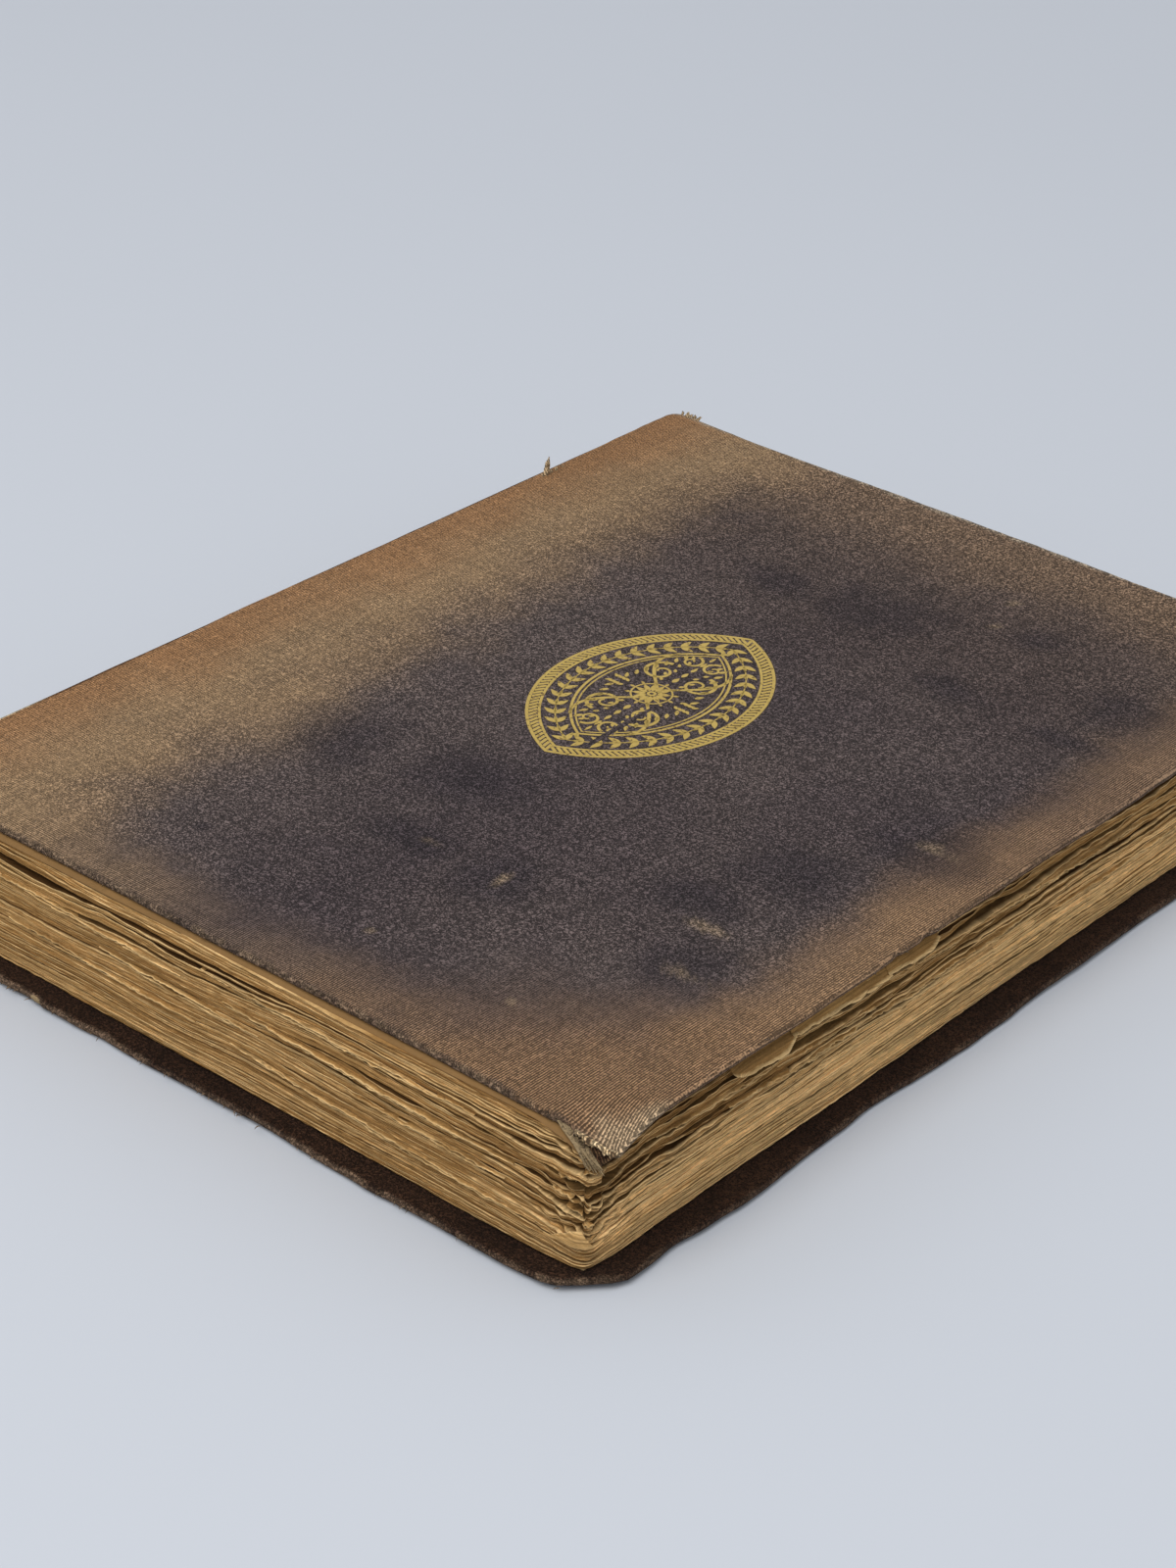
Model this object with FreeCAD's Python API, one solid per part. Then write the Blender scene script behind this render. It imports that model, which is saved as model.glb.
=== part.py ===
import FreeCAD, Part
import math
import os

# An old quarto book in grained brown book cloth, lying on its back cover.
# X runs from the spine (-) to the fore-edge (+), Y from the tail (-) to the head (+), Z up.
# The origin is on the table, under the middle of the whole book. Millimetres.

# Covers, with the squares by which the back one stands out past the leaves
FORE_EDGE_SQUARE = 6.7
TAIL_SQUARE = 6.4
HEAD_SQUARE = 4.9
SPINE_SETBACK = 1.7
BOARD_THICKNESS = 1.2
CLOTH_THICKNESS = 0.3
TURN_IN = 16.0
MITRE_GAP = 0.25
PASTEDOWN_THICKNESS = 0.15
PASTEDOWN_MARGIN = 8.0

# The front cover has slipped on its slack joint, towards the spine and the head
FRONT_SLIP_TO_SPINE = 3.7
FRONT_SLIP_TO_HEAD = 8.4

# Worn corners at the fore-edge
FRONT_TAIL_CORNER = 2.5
FRONT_HEAD_CORNER = 3.0
BACK_TAIL_CORNER = 9.0
BACK_HEAD_CORNER = 5.0
TEAR_ALONG_TAIL = 12.0
TEAR_ALONG_FORE_EDGE = 5.0

# Leaves
TEXT_WIDTH = 195.0
TEXT_LENGTH = 259.0
TEXT_THICKNESS = 29.2
ENDPAPER_THICKNESS = 0.2
ENDPAPER_INSET = 1.2
GATHERINGS = 10
GATHERING_GAP = 0.35
GAP_DEPTH = 2.4
DECKLE_DEPTH = 1.0
DECKLE_STEP = 32.0
DECKLE_SLOW_WAVE = 310.0
DECKLE_QUICK_WAVE = 128.0
WORN_CORNER_LOW = 2.0
WORN_CORNER_HIGH = 7.0
WORN_CORNER_BULGE = 0.3

# Spine
SPINE_ROUND = 2.4
TAPE_COUNT = 4
TAPE_WIDTH = 14.0
TAPE_THICKNESS = 0.4
MULL_THICKNESS = 0.25
LINING_THICKNESS = 0.25
HOLLOW = 0.4
INLAY_THICKNESS = 0.5
SPINE_TURN_IN = 12.0
LINING_END_MARGIN = 8.0
JOINT_CLEARANCE = 0.4

# Gilt centrepiece on the front cover
STAMP_WIDTH = 50.0
STAMP_HEIGHT = 74.5
STAMP_FROM_SPINE = 97.0
STAMP_FROM_HEAD = 128.0
GILT_THICKNESS = 0.05
STAMP_BORDER = 1.3
STAMP_BAND = 6.0
TOOTH_REACH = 1.9
TEETH_PER_SIDE = 11
STAMP_STEM = 1.3
ROSETTE_PETALS = 8
ROSETTE_REACH = 8.5
PETAL_WIDTH = 4.2
LEAF_LENGTH = 9.5
LEAF_WIDTH = 3.6
LEAF_PAIRS = 3
LEAF_LEAN = 38.0

# Worked out from the sizes above
COVER_WIDTH = SPINE_SETBACK + TEXT_WIDTH + FORE_EDGE_SQUARE
COVER_LENGTH = TAIL_SQUARE + TEXT_LENGTH + HEAD_SQUARE
COVER_THICKNESS = BOARD_THICKNESS + 2 * CLOTH_THICKNESS
CASE_THICKNESS = COVER_THICKNESS + PASTEDOWN_THICKNESS
BLOCK_THICKNESS = TEXT_THICKNESS + 2 * ENDPAPER_THICKNESS
BOOK_THICKNESS = BLOCK_THICKNESS + 2 * CASE_THICKNESS
BACK_FORE_X = (COVER_WIDTH + FRONT_SLIP_TO_SPINE) / 2
BACK_TAIL_Y = -(COVER_LENGTH + FRONT_SLIP_TO_HEAD) / 2
FRONT_FORE_X = BACK_FORE_X - FRONT_SLIP_TO_SPINE
FRONT_TAIL_Y = BACK_TAIL_Y + FRONT_SLIP_TO_HEAD
TEXT_FORE_X = BACK_FORE_X - FORE_EDGE_SQUARE
TEXT_SPINE_X = TEXT_FORE_X - TEXT_WIDTH
TEXT_TAIL_Y = BACK_TAIL_Y + TAIL_SQUARE
TEXT_HEAD_Y = TEXT_TAIL_Y + TEXT_LENGTH
BLOCK_LOW_Z = CASE_THICKNESS
BLOCK_HIGH_Z = CASE_THICKNESS + BLOCK_THICKNESS
TEXT_LOW_Z = BLOCK_LOW_Z + ENDPAPER_THICKNESS
TEXT_HIGH_Z = BLOCK_HIGH_Z - ENDPAPER_THICKNESS
SPINE_MID_Z = (BLOCK_LOW_Z + BLOCK_HIGH_Z) / 2
SPINE_RADIUS = ((BLOCK_THICKNESS / 2) ** 2 + SPINE_ROUND ** 2) / (2 * SPINE_ROUND)
SPINE_CENTRE_X = TEXT_SPINE_X - SPINE_ROUND + SPINE_RADIUS
BEHIND_SPINE_X = TEXT_SPINE_X - 2 * SPINE_ROUND
GOLDEN_ANGLE = math.pi * (3 - math.sqrt(5))

ALONG_Y = FreeCAD.Vector(0, 1, 0)
ALONG_Z = FreeCAD.Vector(0, 0, 1)


def point(x, y, z=0.0):
    return FreeCAD.Vector(x, y, z)


def line(start, end):
    return Part.LineSegment(start, end).toShape()


def closed_lines(corners):
    return [line(a, b) for a, b in zip(corners, corners[1:] + corners[:1])]


def raise_outline(edges, z_low, z_high):
    """A closed flat outline drawn at height zero, as a solid between two heights."""
    low, high = min(z_low, z_high), max(z_low, z_high)
    solid = Part.Face(Part.Wire(edges)).extrude(ALONG_Z * (high - low))
    solid.translate(ALONG_Z * low)
    return solid


def block(x_low, x_high, y_low, y_high, z_low, z_high):
    low, high = min(z_low, z_high), max(z_low, z_high)
    return Part.makeBox(x_high - x_low, y_high - y_low, high - low, point(x_low, y_low, low))


def rounded_corner(before, corner, after, radius):
    """The arc that rounds a right-angled corner, with the sides coming in from before to after."""
    come = (corner - before).normalize()
    leave = (after - corner).normalize()
    start = corner - come * radius
    end = corner + leave * radius
    centre = start + leave * radius
    middle = centre + (corner - centre).normalize() * radius
    return start, end, Part.Arc(start, middle, end).toShape()


class Cover:
    """One cover. Levels are depths below its outer face, and inward is +1 where that is up."""

    def __init__(self, fore_x, tail_y, outer_z, inward, tail_corner, head_corner):
        self.fore_x = fore_x
        self.tail_y = tail_y
        self.head_y = tail_y + COVER_LENGTH
        self.outer_z = outer_z
        self.inward = inward
        self.tail_corner = tail_corner
        self.head_corner = head_corner
        self.hinge_x = fore_x - COVER_WIDTH + COVER_THICKNESS / 2

    def height(self, level):
        return self.outer_z + self.inward * level

    def slab(self, level_low, level_high, inset):
        """A board-shaped slab, half round along the spine edge, about the joint's own line."""
        tail_y, head_y, fore_x = self.tail_y + inset, self.head_y - inset, self.fore_x - inset
        spine_tail = point(self.hinge_x, tail_y)
        fore_tail = point(fore_x, tail_y)
        fore_head = point(fore_x, head_y)
        spine_head = point(self.hinge_x, head_y)
        tail_start, tail_end, tail_arc = rounded_corner(
            spine_tail, fore_tail, fore_head, self.tail_corner - inset)
        head_start, head_end, head_arc = rounded_corner(
            fore_tail, fore_head, spine_head, self.head_corner - inset)
        edges = [
            line(spine_tail, tail_start),
            tail_arc,
            line(tail_end, head_start),
            head_arc,
            line(head_end, spine_head),
            line(spine_head, spine_tail),
        ]
        slab = raise_outline(edges, self.height(level_low), self.height(level_high))
        radius = (level_high - level_low) / 2
        middle = self.height((level_low + level_high) / 2)
        knuckle = Part.makeCylinder(
            radius, head_y - tail_y, point(self.hinge_x, tail_y, middle), ALONG_Y)
        return slab.fuse(knuckle).removeSplitter()

    def board(self):
        return self.slab(CLOTH_THICKNESS, CLOTH_THICKNESS + BOARD_THICKNESS, CLOTH_THICKNESS)

    def window(self, level_low, level_high, inset=0.0, spine_gap=0.0):
        """The space inside the turned-in cloth, open towards the spine."""
        reach = TURN_IN + inset
        return block(
            self.hinge_x + spine_gap, self.fore_x - reach, self.tail_y + reach, self.head_y - reach,
            self.height(level_low), self.height(level_high))

    def mitre(self, corner_y, side):
        """The narrow slanting seam where two turn-ins meet at a fore-edge corner."""
        reach = (TURN_IN + MITRE_GAP) * math.sqrt(2)
        inner = BOARD_THICKNESS + CLOTH_THICKNESS
        seam = block(
            -reach, 0, -MITRE_GAP / 2, MITRE_GAP / 2, self.height(inner), self.height(COVER_THICKNESS))
        seam.rotate(point(0, 0), ALONG_Z, -45 * side)
        seam.translate(point(self.fore_x, corner_y))
        return seam

    def cloth(self):
        inner = BOARD_THICKNESS + CLOTH_THICKNESS
        cloth = self.slab(0, COVER_THICKNESS, 0).cut(self.board())
        cloth = cloth.cut(self.window(inner, COVER_THICKNESS))
        return cloth.cut([self.mitre(self.tail_y, 1), self.mitre(self.head_y, -1)])

    def pastedown(self):
        """The paper over the board and the turn-ins, dipping into the window between them."""
        inner = BOARD_THICKNESS + CLOTH_THICKNESS
        rim = self.window(
            COVER_THICKNESS, CASE_THICKNESS, PASTEDOWN_MARGIN - TURN_IN, JOINT_CLEARANCE)
        dip = self.window(inner, CASE_THICKNESS, 0.0, JOINT_CLEARANCE)
        hollow = self.window(
            inner + PASTEDOWN_THICKNESS, CASE_THICKNESS, PASTEDOWN_THICKNESS, JOINT_CLEARANCE)
        return rim.fuse(dip).cut(hollow).removeSplitter()


BACK = Cover(BACK_FORE_X, BACK_TAIL_Y, 0.0, 1, BACK_TAIL_CORNER, BACK_HEAD_CORNER)
FRONT = Cover(FRONT_FORE_X, FRONT_TAIL_Y, BOOK_THICKNESS, -1, FRONT_TAIL_CORNER, FRONT_HEAD_CORNER)


def torn_front_cloth():
    """The front cloth, with the near corner torn away so that the board shows there."""
    corner = point(FRONT.fore_x + CLOTH_THICKNESS, FRONT.tail_y - CLOTH_THICKNESS)
    along_tail = point(FRONT.fore_x - TEAR_ALONG_TAIL, FRONT.tail_y - CLOTH_THICKNESS)
    along_fore = point(FRONT.fore_x + CLOTH_THICKNESS, FRONT.tail_y + TEAR_ALONG_FORE_EDGE)
    edges = closed_lines([corner, along_fore, along_tail])
    tear = raise_outline(edges, FRONT.height(-CLOTH_THICKNESS), FRONT.height(CASE_THICKNESS))
    return FRONT.cloth().cut(tear)


def wander(distance, gathering, side):
    """How far a torn leaf edge stands back from its furthest reach, 0 to 1."""
    phase = GOLDEN_ANGLE * (gathering * 3 + side)
    slow = math.sin(2 * math.pi * distance / DECKLE_SLOW_WAVE + phase)
    quick = math.sin(2 * math.pi * distance / DECKLE_QUICK_WAVE + 2 * phase)
    return (2 + slow + quick) / 4


def deckle_edge(start, end, inward, gathering, side):
    """One torn edge of a gathering, from start to end, as a smooth curve."""
    run = end - start
    steps = round(run.Length / DECKLE_STEP)
    points = []
    for step in range(steps + 1):
        on_line = start + run * (step / steps)
        depth = DECKLE_DEPTH * wander(run.Length * step / steps, gathering, side)
        points.append(on_line + inward * depth)
    curve = Part.BSplineCurve()
    curve.interpolate(points)
    return points[0], points[-1], curve.toShape()


def worn_corner(start, corner, end):
    middle = (start + end) * 0.5
    return Part.Arc(start, middle + (corner - middle) * WORN_CORNER_BULGE, end).toShape()


def gathering_outline(gathering):
    """The outline of one gathering of leaves, running past the rounded spine."""
    height = gathering / (GATHERINGS - 1)
    near = WORN_CORNER_LOW + (WORN_CORNER_HIGH - WORN_CORNER_LOW) * height
    near_corner = point(TEXT_FORE_X, TEXT_TAIL_Y)
    far_corner = point(TEXT_FORE_X, TEXT_HEAD_Y)
    tail_start, tail_end, tail = deckle_edge(
        point(BEHIND_SPINE_X, TEXT_TAIL_Y), near_corner - point(near, 0), point(0, 1), gathering, 0)
    fore_start, fore_end, fore = deckle_edge(
        near_corner + point(0, near), far_corner - point(0, WORN_CORNER_LOW), point(-1, 0), gathering, 1)
    head_start, head_end, head = deckle_edge(
        far_corner - point(WORN_CORNER_LOW, 0), point(BEHIND_SPINE_X, TEXT_HEAD_Y), point(0, -1),
        gathering, 2)
    return [
        tail,
        worn_corner(tail_end, near_corner, fore_start),
        fore,
        worn_corner(fore_end, far_corner, head_start),
        head,
        line(head_end, tail_start),
    ]


def spine_face(radius, z_low, z_high):
    """The arc of the spine at a radius between two heights, seen from the tail."""
    ends = []
    for z in (z_low, SPINE_MID_Z, z_high):
        x = SPINE_CENTRE_X - math.sqrt(radius ** 2 - (z - SPINE_MID_Z) ** 2)
        ends.append(point(x, 0, z))
    return ends


def block_envelope():
    """All the room in front of the rounded spine of the leaves."""
    low, middle, high = spine_face(SPINE_RADIUS, BLOCK_LOW_Z, BLOCK_HIGH_Z)
    low_fore = point(BACK_FORE_X, 0, BLOCK_LOW_Z)
    high_fore = point(BACK_FORE_X, 0, BLOCK_HIGH_Z)
    edges = [Part.Arc(low, middle, high).toShape(), line(high, high_fore),
             line(high_fore, low_fore), line(low_fore, low)]
    envelope = Part.Face(Part.Wire(edges)).extrude(ALONG_Y * (COVER_LENGTH + TEXT_LENGTH))
    envelope.translate(ALONG_Y * (BACK_TAIL_Y - TEXT_LENGTH / 2))
    return envelope


def gap_outline():
    """The outline that the leaves keep within a shadow gap, set back from all their edges."""
    tail_y, head_y = TEXT_TAIL_Y + GAP_DEPTH, TEXT_HEAD_Y - GAP_DEPTH
    fore_x = TEXT_FORE_X - GAP_DEPTH
    return closed_lines([
        point(BEHIND_SPINE_X, tail_y),
        point(fore_x - WORN_CORNER_HIGH, tail_y),
        point(fore_x, tail_y + WORN_CORNER_HIGH),
        point(fore_x, head_y - WORN_CORNER_LOW),
        point(fore_x - WORN_CORNER_LOW, head_y),
        point(BEHIND_SPINE_X, head_y),
    ])


def text_block():
    """The sewn gatherings, with torn edges and a narrow shadow gap between each two."""
    leaves = (TEXT_THICKNESS - (GATHERINGS - 1) * GATHERING_GAP) / GATHERINGS
    pieces = []
    for gathering in range(GATHERINGS):
        z_low = TEXT_LOW_Z + gathering * (leaves + GATHERING_GAP)
        z_high = z_low + leaves
        pieces.append(raise_outline(gathering_outline(gathering), z_low, z_high))
        if gathering < GATHERINGS - 1:
            pieces.append(raise_outline(gap_outline(), z_high, z_high + GATHERING_GAP))
    stack = pieces[0].multiFuse(pieces[1:])
    return stack.common(block_envelope()).removeSplitter()


def endpaper(z_low):
    return block(
        TEXT_SPINE_X, TEXT_FORE_X - ENDPAPER_INSET,
        TEXT_TAIL_Y + ENDPAPER_INSET, TEXT_HEAD_Y - ENDPAPER_INSET,
        z_low, z_low + ENDPAPER_THICKNESS)


def spine_layer(depth_low, depth_high, z_margin, y_low, y_high):
    """A strip bent round the spine, between two depths measured out from the leaves."""
    z_low, z_high = BLOCK_LOW_Z + z_margin, BLOCK_HIGH_Z - z_margin
    inner = spine_face(SPINE_RADIUS + depth_low, z_low, z_high)
    outer = spine_face(SPINE_RADIUS + depth_high, z_low, z_high)
    edges = [
        Part.Arc(*inner).toShape(),
        line(inner[-1], outer[-1]),
        Part.Arc(*reversed(outer)).toShape(),
        line(outer[0], inner[0]),
    ]
    layer = Part.Face(Part.Wire(edges)).extrude(ALONG_Y * (y_high - y_low))
    layer.translate(ALONG_Y * y_low)
    return layer


MULL_DEPTH = TAPE_THICKNESS
LINING_DEPTH = MULL_DEPTH + MULL_THICKNESS
SPINE_CLOTH_DEPTH = LINING_DEPTH + LINING_THICKNESS + HOLLOW
INLAY_DEPTH = SPINE_CLOTH_DEPTH + CLOTH_THICKNESS
SPINE_OUTSIDE = INLAY_DEPTH + INLAY_THICKNESS + CLOTH_THICKNESS
SPINE_CLOTH_MARGIN = JOINT_CLEARANCE - PASTEDOWN_THICKNESS
INLAY_MARGIN = SPINE_CLOTH_MARGIN + JOINT_CLEARANCE


def sewing_tape(number):
    """One of the tapes that the gatherings are sewn on, evenly spaced along the spine."""
    middle = TEXT_TAIL_Y + TEXT_LENGTH * number / (TAPE_COUNT + 1)
    return spine_layer(
        0, TAPE_THICKNESS, ENDPAPER_THICKNESS, middle - TAPE_WIDTH / 2, middle + TAPE_WIDTH / 2)


def spine_inlay():
    return spine_layer(
        INLAY_DEPTH, INLAY_DEPTH + INLAY_THICKNESS, INLAY_MARGIN,
        BACK.tail_y + CLOTH_THICKNESS, BACK.head_y - CLOTH_THICKNESS)


def spine_cloth():
    """The cloth over the spine, turned in over both ends of the stiff strip inside it."""
    whole = spine_layer(
        SPINE_CLOTH_DEPTH, SPINE_OUTSIDE, SPINE_CLOTH_MARGIN, BACK.tail_y, BACK.head_y)
    between_turn_ins = spine_layer(
        SPINE_CLOTH_DEPTH - CLOTH_THICKNESS, INLAY_DEPTH + INLAY_THICKNESS, -CLOTH_THICKNESS,
        BACK.tail_y + SPINE_TURN_IN, BACK.head_y - SPINE_TURN_IN)
    return whole.cut(between_turn_ins).cut(spine_inlay())


def spine_lining(depth_low, depth_high):
    return spine_layer(
        depth_low, depth_high, ENDPAPER_THICKNESS,
        TEXT_TAIL_Y + LINING_END_MARGIN, TEXT_HEAD_Y - LINING_END_MARGIN)


def almond_arc(half_width, half_height, side):
    """One side of a pointed oval about the origin: its radius, centre and three points."""
    radius = (half_width ** 2 + half_height ** 2) / (2 * half_width)
    centre = point(side * (half_width - radius), 0)
    return radius, centre, [point(0, -half_height), point(side * half_width, 0), point(0, half_height)]


def almond(inset):
    """A pointed oval that much smaller all round than the centrepiece."""
    half_width = STAMP_WIDTH / 2 - inset
    half_height = STAMP_HEIGHT / 2 - inset * STAMP_HEIGHT / STAMP_WIDTH
    edges = []
    for side in (1, -1):
        points = almond_arc(half_width, half_height, side)[2]
        edges.append(Part.Arc(*points[::side]).toShape())
    return raise_outline(edges, 0, GILT_THICKNESS)


def on_almond(inset, share, side):
    """A place along one side of the pointed oval, share 0 at its foot and 1 at its head."""
    half_width = STAMP_WIDTH / 2 - inset
    half_height = STAMP_HEIGHT / 2 - inset * STAMP_HEIGHT / STAMP_WIDTH
    radius, centre, _ = almond_arc(half_width, half_height, side)
    angle = math.asin(half_height / radius) * (2 * share - 1)
    return centre + point(side * math.cos(angle), math.sin(angle)) * radius


def flat_polygon(corners):
    return raise_outline(closed_lines(corners), 0, GILT_THICKNESS)


def petal(base, length, width, heading):
    """A leaf pointed at both ends, from its base along a heading in degrees."""
    corners = [
        base,
        base + point(length / 3, -width / 2),
        base + point(length * 2 / 3, -width / 2),
        base + point(length, 0),
        base + point(length * 2 / 3, width / 2),
        base + point(length / 3, width / 2),
    ]
    leaf = flat_polygon(corners)
    leaf.rotate(base, ALONG_Z, heading)
    return leaf


def tooth(centre, heading):
    """A small pointed tooth that stands out of the border."""
    corners = [
        point(-STAMP_BORDER / 2, -TOOTH_REACH),
        point(TOOTH_REACH, 0),
        point(-STAMP_BORDER / 2, TOOTH_REACH),
    ]
    shape = flat_polygon(corners)
    shape.rotate(point(0, 0), ALONG_Z, heading)
    shape.translate(centre)
    return shape


def gilt_border():
    """Two plain rings with a row of leaves between them, and small teeth outside."""
    outer_inset = TOOTH_REACH
    inner_inset = outer_inset + STAMP_BAND
    outer = almond(outer_inset).cut(almond(outer_inset + STAMP_BORDER))
    inner = almond(inner_inset).cut(almond(inner_inset + STAMP_BORDER))
    pieces = [inner]
    for side in (1, -1):
        for number in range(TEETH_PER_SIDE):
            share = (number + 0.5) / TEETH_PER_SIDE
            centre = on_almond(outer_inset, share, side)
            foot = on_almond(inner_inset + STAMP_BORDER / 2, share, side)
            reach = centre - foot
            heading = math.degrees(math.atan2(reach.y, reach.x))
            pieces.append(tooth(centre, heading))
            pieces.append(petal(foot, reach.Length, reach.Length / 3, heading))
    return outer.multiFuse(pieces)


def gilt_leaves():
    """A rosette with leafy stems to the head and foot of the oval, and side stems."""
    inner_inset = TOOTH_REACH + STAMP_BAND + STAMP_BORDER / 2
    reach_y = on_almond(inner_inset, 1, 1).y
    reach_x = on_almond(inner_inset, 0.5, 1).x
    pieces = [
        block(-STAMP_STEM / 2, STAMP_STEM / 2, -reach_y, reach_y, 0, GILT_THICKNESS),
        block(-reach_x, reach_x, -STAMP_STEM / 2, STAMP_STEM / 2, 0, GILT_THICKNESS),
    ]
    for number in range(ROSETTE_PETALS):
        pieces.append(petal(point(0, 0), ROSETTE_REACH, PETAL_WIDTH, 360 * number / ROSETTE_PETALS))
    step = (reach_y - ROSETTE_REACH) / (LEAF_PAIRS + 1)
    for number in range(LEAF_PAIRS):
        height = ROSETTE_REACH + step * number
        length = LEAF_LENGTH * (1 - number / (2 * LEAF_PAIRS))
        for up in (1, -1):
            for heading in (LEAF_LEAN, 180 - LEAF_LEAN):
                pieces.append(petal(point(0, up * height), length, LEAF_WIDTH, up * heading))
    return pieces


def gilt_centrepiece():
    gilt = gilt_border().multiFuse(gilt_leaves()).removeSplitter()
    gilt.translate(point(
        FRONT.fore_x - COVER_WIDTH + STAMP_FROM_SPINE, FRONT.head_y - STAMP_FROM_HEAD, BOOK_THICKNESS))
    return gilt


def pieces_of_the_book():
    pieces = {
        "back_board": BACK.board(),
        "back_cover_cloth": BACK.cloth(),
        "back_pastedown": BACK.pastedown(),
        "back_free_endpaper": endpaper(BLOCK_LOW_Z),
        "text_block": text_block(),
        "front_free_endpaper": endpaper(TEXT_HIGH_Z),
        "front_pastedown": FRONT.pastedown(),
        "front_board": FRONT.board(),
        "front_cover_cloth": torn_front_cloth(),
        "gilt_centrepiece": gilt_centrepiece(),
        "spine_mull": spine_lining(MULL_DEPTH, LINING_DEPTH),
        "spine_paper_lining": spine_lining(LINING_DEPTH, LINING_DEPTH + LINING_THICKNESS),
        "spine_inlay": spine_inlay(),
        "spine_cloth": spine_cloth(),
    }
    for number in range(1, TAPE_COUNT + 1):
        pieces[f"sewing_tape_{number}"] = sewing_tape(number)
    return pieces


def main():
    os.makedirs("parts", exist_ok=True)
    for name, shape in pieces_of_the_book().items():
        shape.exportStep(f"parts/{name}.step")
        print(name, "solids", len(shape.Solids), "valid", shape.isValid(), "mm3", round(shape.Volume, 1))


main()
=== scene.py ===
import math

import bpy
import numpy as np
from mathutils import Matrix, Vector

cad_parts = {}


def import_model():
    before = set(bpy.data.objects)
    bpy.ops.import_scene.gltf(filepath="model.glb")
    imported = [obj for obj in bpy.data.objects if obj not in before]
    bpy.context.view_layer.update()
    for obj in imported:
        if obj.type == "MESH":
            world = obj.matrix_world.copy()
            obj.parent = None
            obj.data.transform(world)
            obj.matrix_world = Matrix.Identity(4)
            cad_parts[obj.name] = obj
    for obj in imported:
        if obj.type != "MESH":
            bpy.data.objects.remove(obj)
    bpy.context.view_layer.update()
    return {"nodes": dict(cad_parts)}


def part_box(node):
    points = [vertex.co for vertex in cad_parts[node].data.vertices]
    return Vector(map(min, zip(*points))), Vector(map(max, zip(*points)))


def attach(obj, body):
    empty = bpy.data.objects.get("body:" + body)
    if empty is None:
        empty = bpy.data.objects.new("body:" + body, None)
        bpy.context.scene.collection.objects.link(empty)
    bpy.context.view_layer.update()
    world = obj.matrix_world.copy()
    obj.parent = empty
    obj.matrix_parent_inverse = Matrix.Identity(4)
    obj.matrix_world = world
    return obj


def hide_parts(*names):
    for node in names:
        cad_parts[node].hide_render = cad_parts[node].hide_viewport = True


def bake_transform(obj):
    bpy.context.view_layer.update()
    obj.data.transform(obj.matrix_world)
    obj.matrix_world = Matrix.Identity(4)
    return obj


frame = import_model()

# Shapes are worked out in millimetres and turned into metres as each mesh is made.
MM = 0.001


def box_mm(node):
    """The low and the high corner of a node's box."""
    low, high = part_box(node)
    return [value / MM for value in low], [value / MM for value in high]


# Places read from the frame
FRONT_LOW, FRONT_HIGH = box_mm("front_cover_cloth")
BACK_LOW, BACK_HIGH = box_mm("back_cover_cloth")
TEXT_LOW, TEXT_HIGH = box_mm("text_block")
ENDPAPER_LOW, ENDPAPER_HIGH = box_mm("front_free_endpaper")
BACK_ENDPAPER_LOW, BACK_ENDPAPER_HIGH = box_mm("back_free_endpaper")
PASTE_LOW, PASTE_HIGH = box_mm("front_pastedown")
BACK_PASTE_LOW, BACK_PASTE_HIGH = box_mm("back_pastedown")
SPINE_LOW, SPINE_HIGH = box_mm("spine_cloth")
GILT_LOW, GILT_HIGH = box_mm("gilt_centrepiece")

CLOTH = FRONT_HIGH[2] - box_mm("front_board")[1][2]
TEXT_SPINE_X = ENDPAPER_LOW[0]
TEXT_FORE_X = TEXT_HIGH[0]
TEXT_TAIL_Y = TEXT_LOW[1]
TEXT_HEAD_Y = TEXT_HIGH[1]
SPINE_ROUND = TEXT_SPINE_X - TEXT_LOW[0]
NEAR_CORNER = (FRONT_HIGH[0], FRONT_LOW[1])


# Smooth noise, the same on every run
LATTICE = np.random.default_rng(11).random((256, 256))


def noise(u, v, seed=0):
    """Smooth noise from -1 to 1 with one bump for each unit of u and v."""
    u, v = np.broadcast_arrays(np.asarray(u, float) + 31.7 * seed, np.asarray(v, float) + 12.3 * seed)
    iu, iv = np.floor(u).astype(int), np.floor(v).astype(int)
    fu, fv = u - iu, v - iv
    fu, fv = fu * fu * (3 - 2 * fu), fv * fv * (3 - 2 * fv)
    iu, iv = iu % 255, iv % 255
    low = LATTICE[iu, iv] * (1 - fu) + LATTICE[iu + 1, iv] * fu
    high = LATTICE[iu, iv + 1] * (1 - fu) + LATTICE[iu + 1, iv + 1] * fu
    return 2 * (low * (1 - fv) + high * fv) - 1


def cloud(x, y, size, seed, octaves=4):
    """Noise of several sizes together, about -1 to 1."""
    total, weight = 0.0, 0.62
    for octave in range(octaves):
        total = total + weight * noise(x / size, y / size, seed + octave)
        size, weight = size / 2.1, weight * 0.6
    return total


def hump(distance, width):
    """1 at no distance, falling smoothly to nothing past the width."""
    return np.exp(-(np.asarray(distance) / width) ** 2)


def ease(value):
    """A smooth step from 0 to 1."""
    value = np.clip(value, 0, 1)
    return value * value * (3 - 2 * value)


# Meshes
def make_object(name, points, faces, material, body, smooth=True):
    """A mesh of points in millimetres that rides on a body."""
    mesh = bpy.data.meshes.new(name)
    mesh.from_pydata((np.asarray(points, float) * MM).tolist(), [], faces)
    mesh.validate()
    mesh.polygons.foreach_set("use_smooth", [smooth] * len(mesh.polygons))
    mesh.materials.append(material)
    piece = bpy.data.objects.new(name, mesh)
    bpy.context.scene.collection.objects.link(piece)
    if body:
        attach(piece, body)
    return piece


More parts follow.
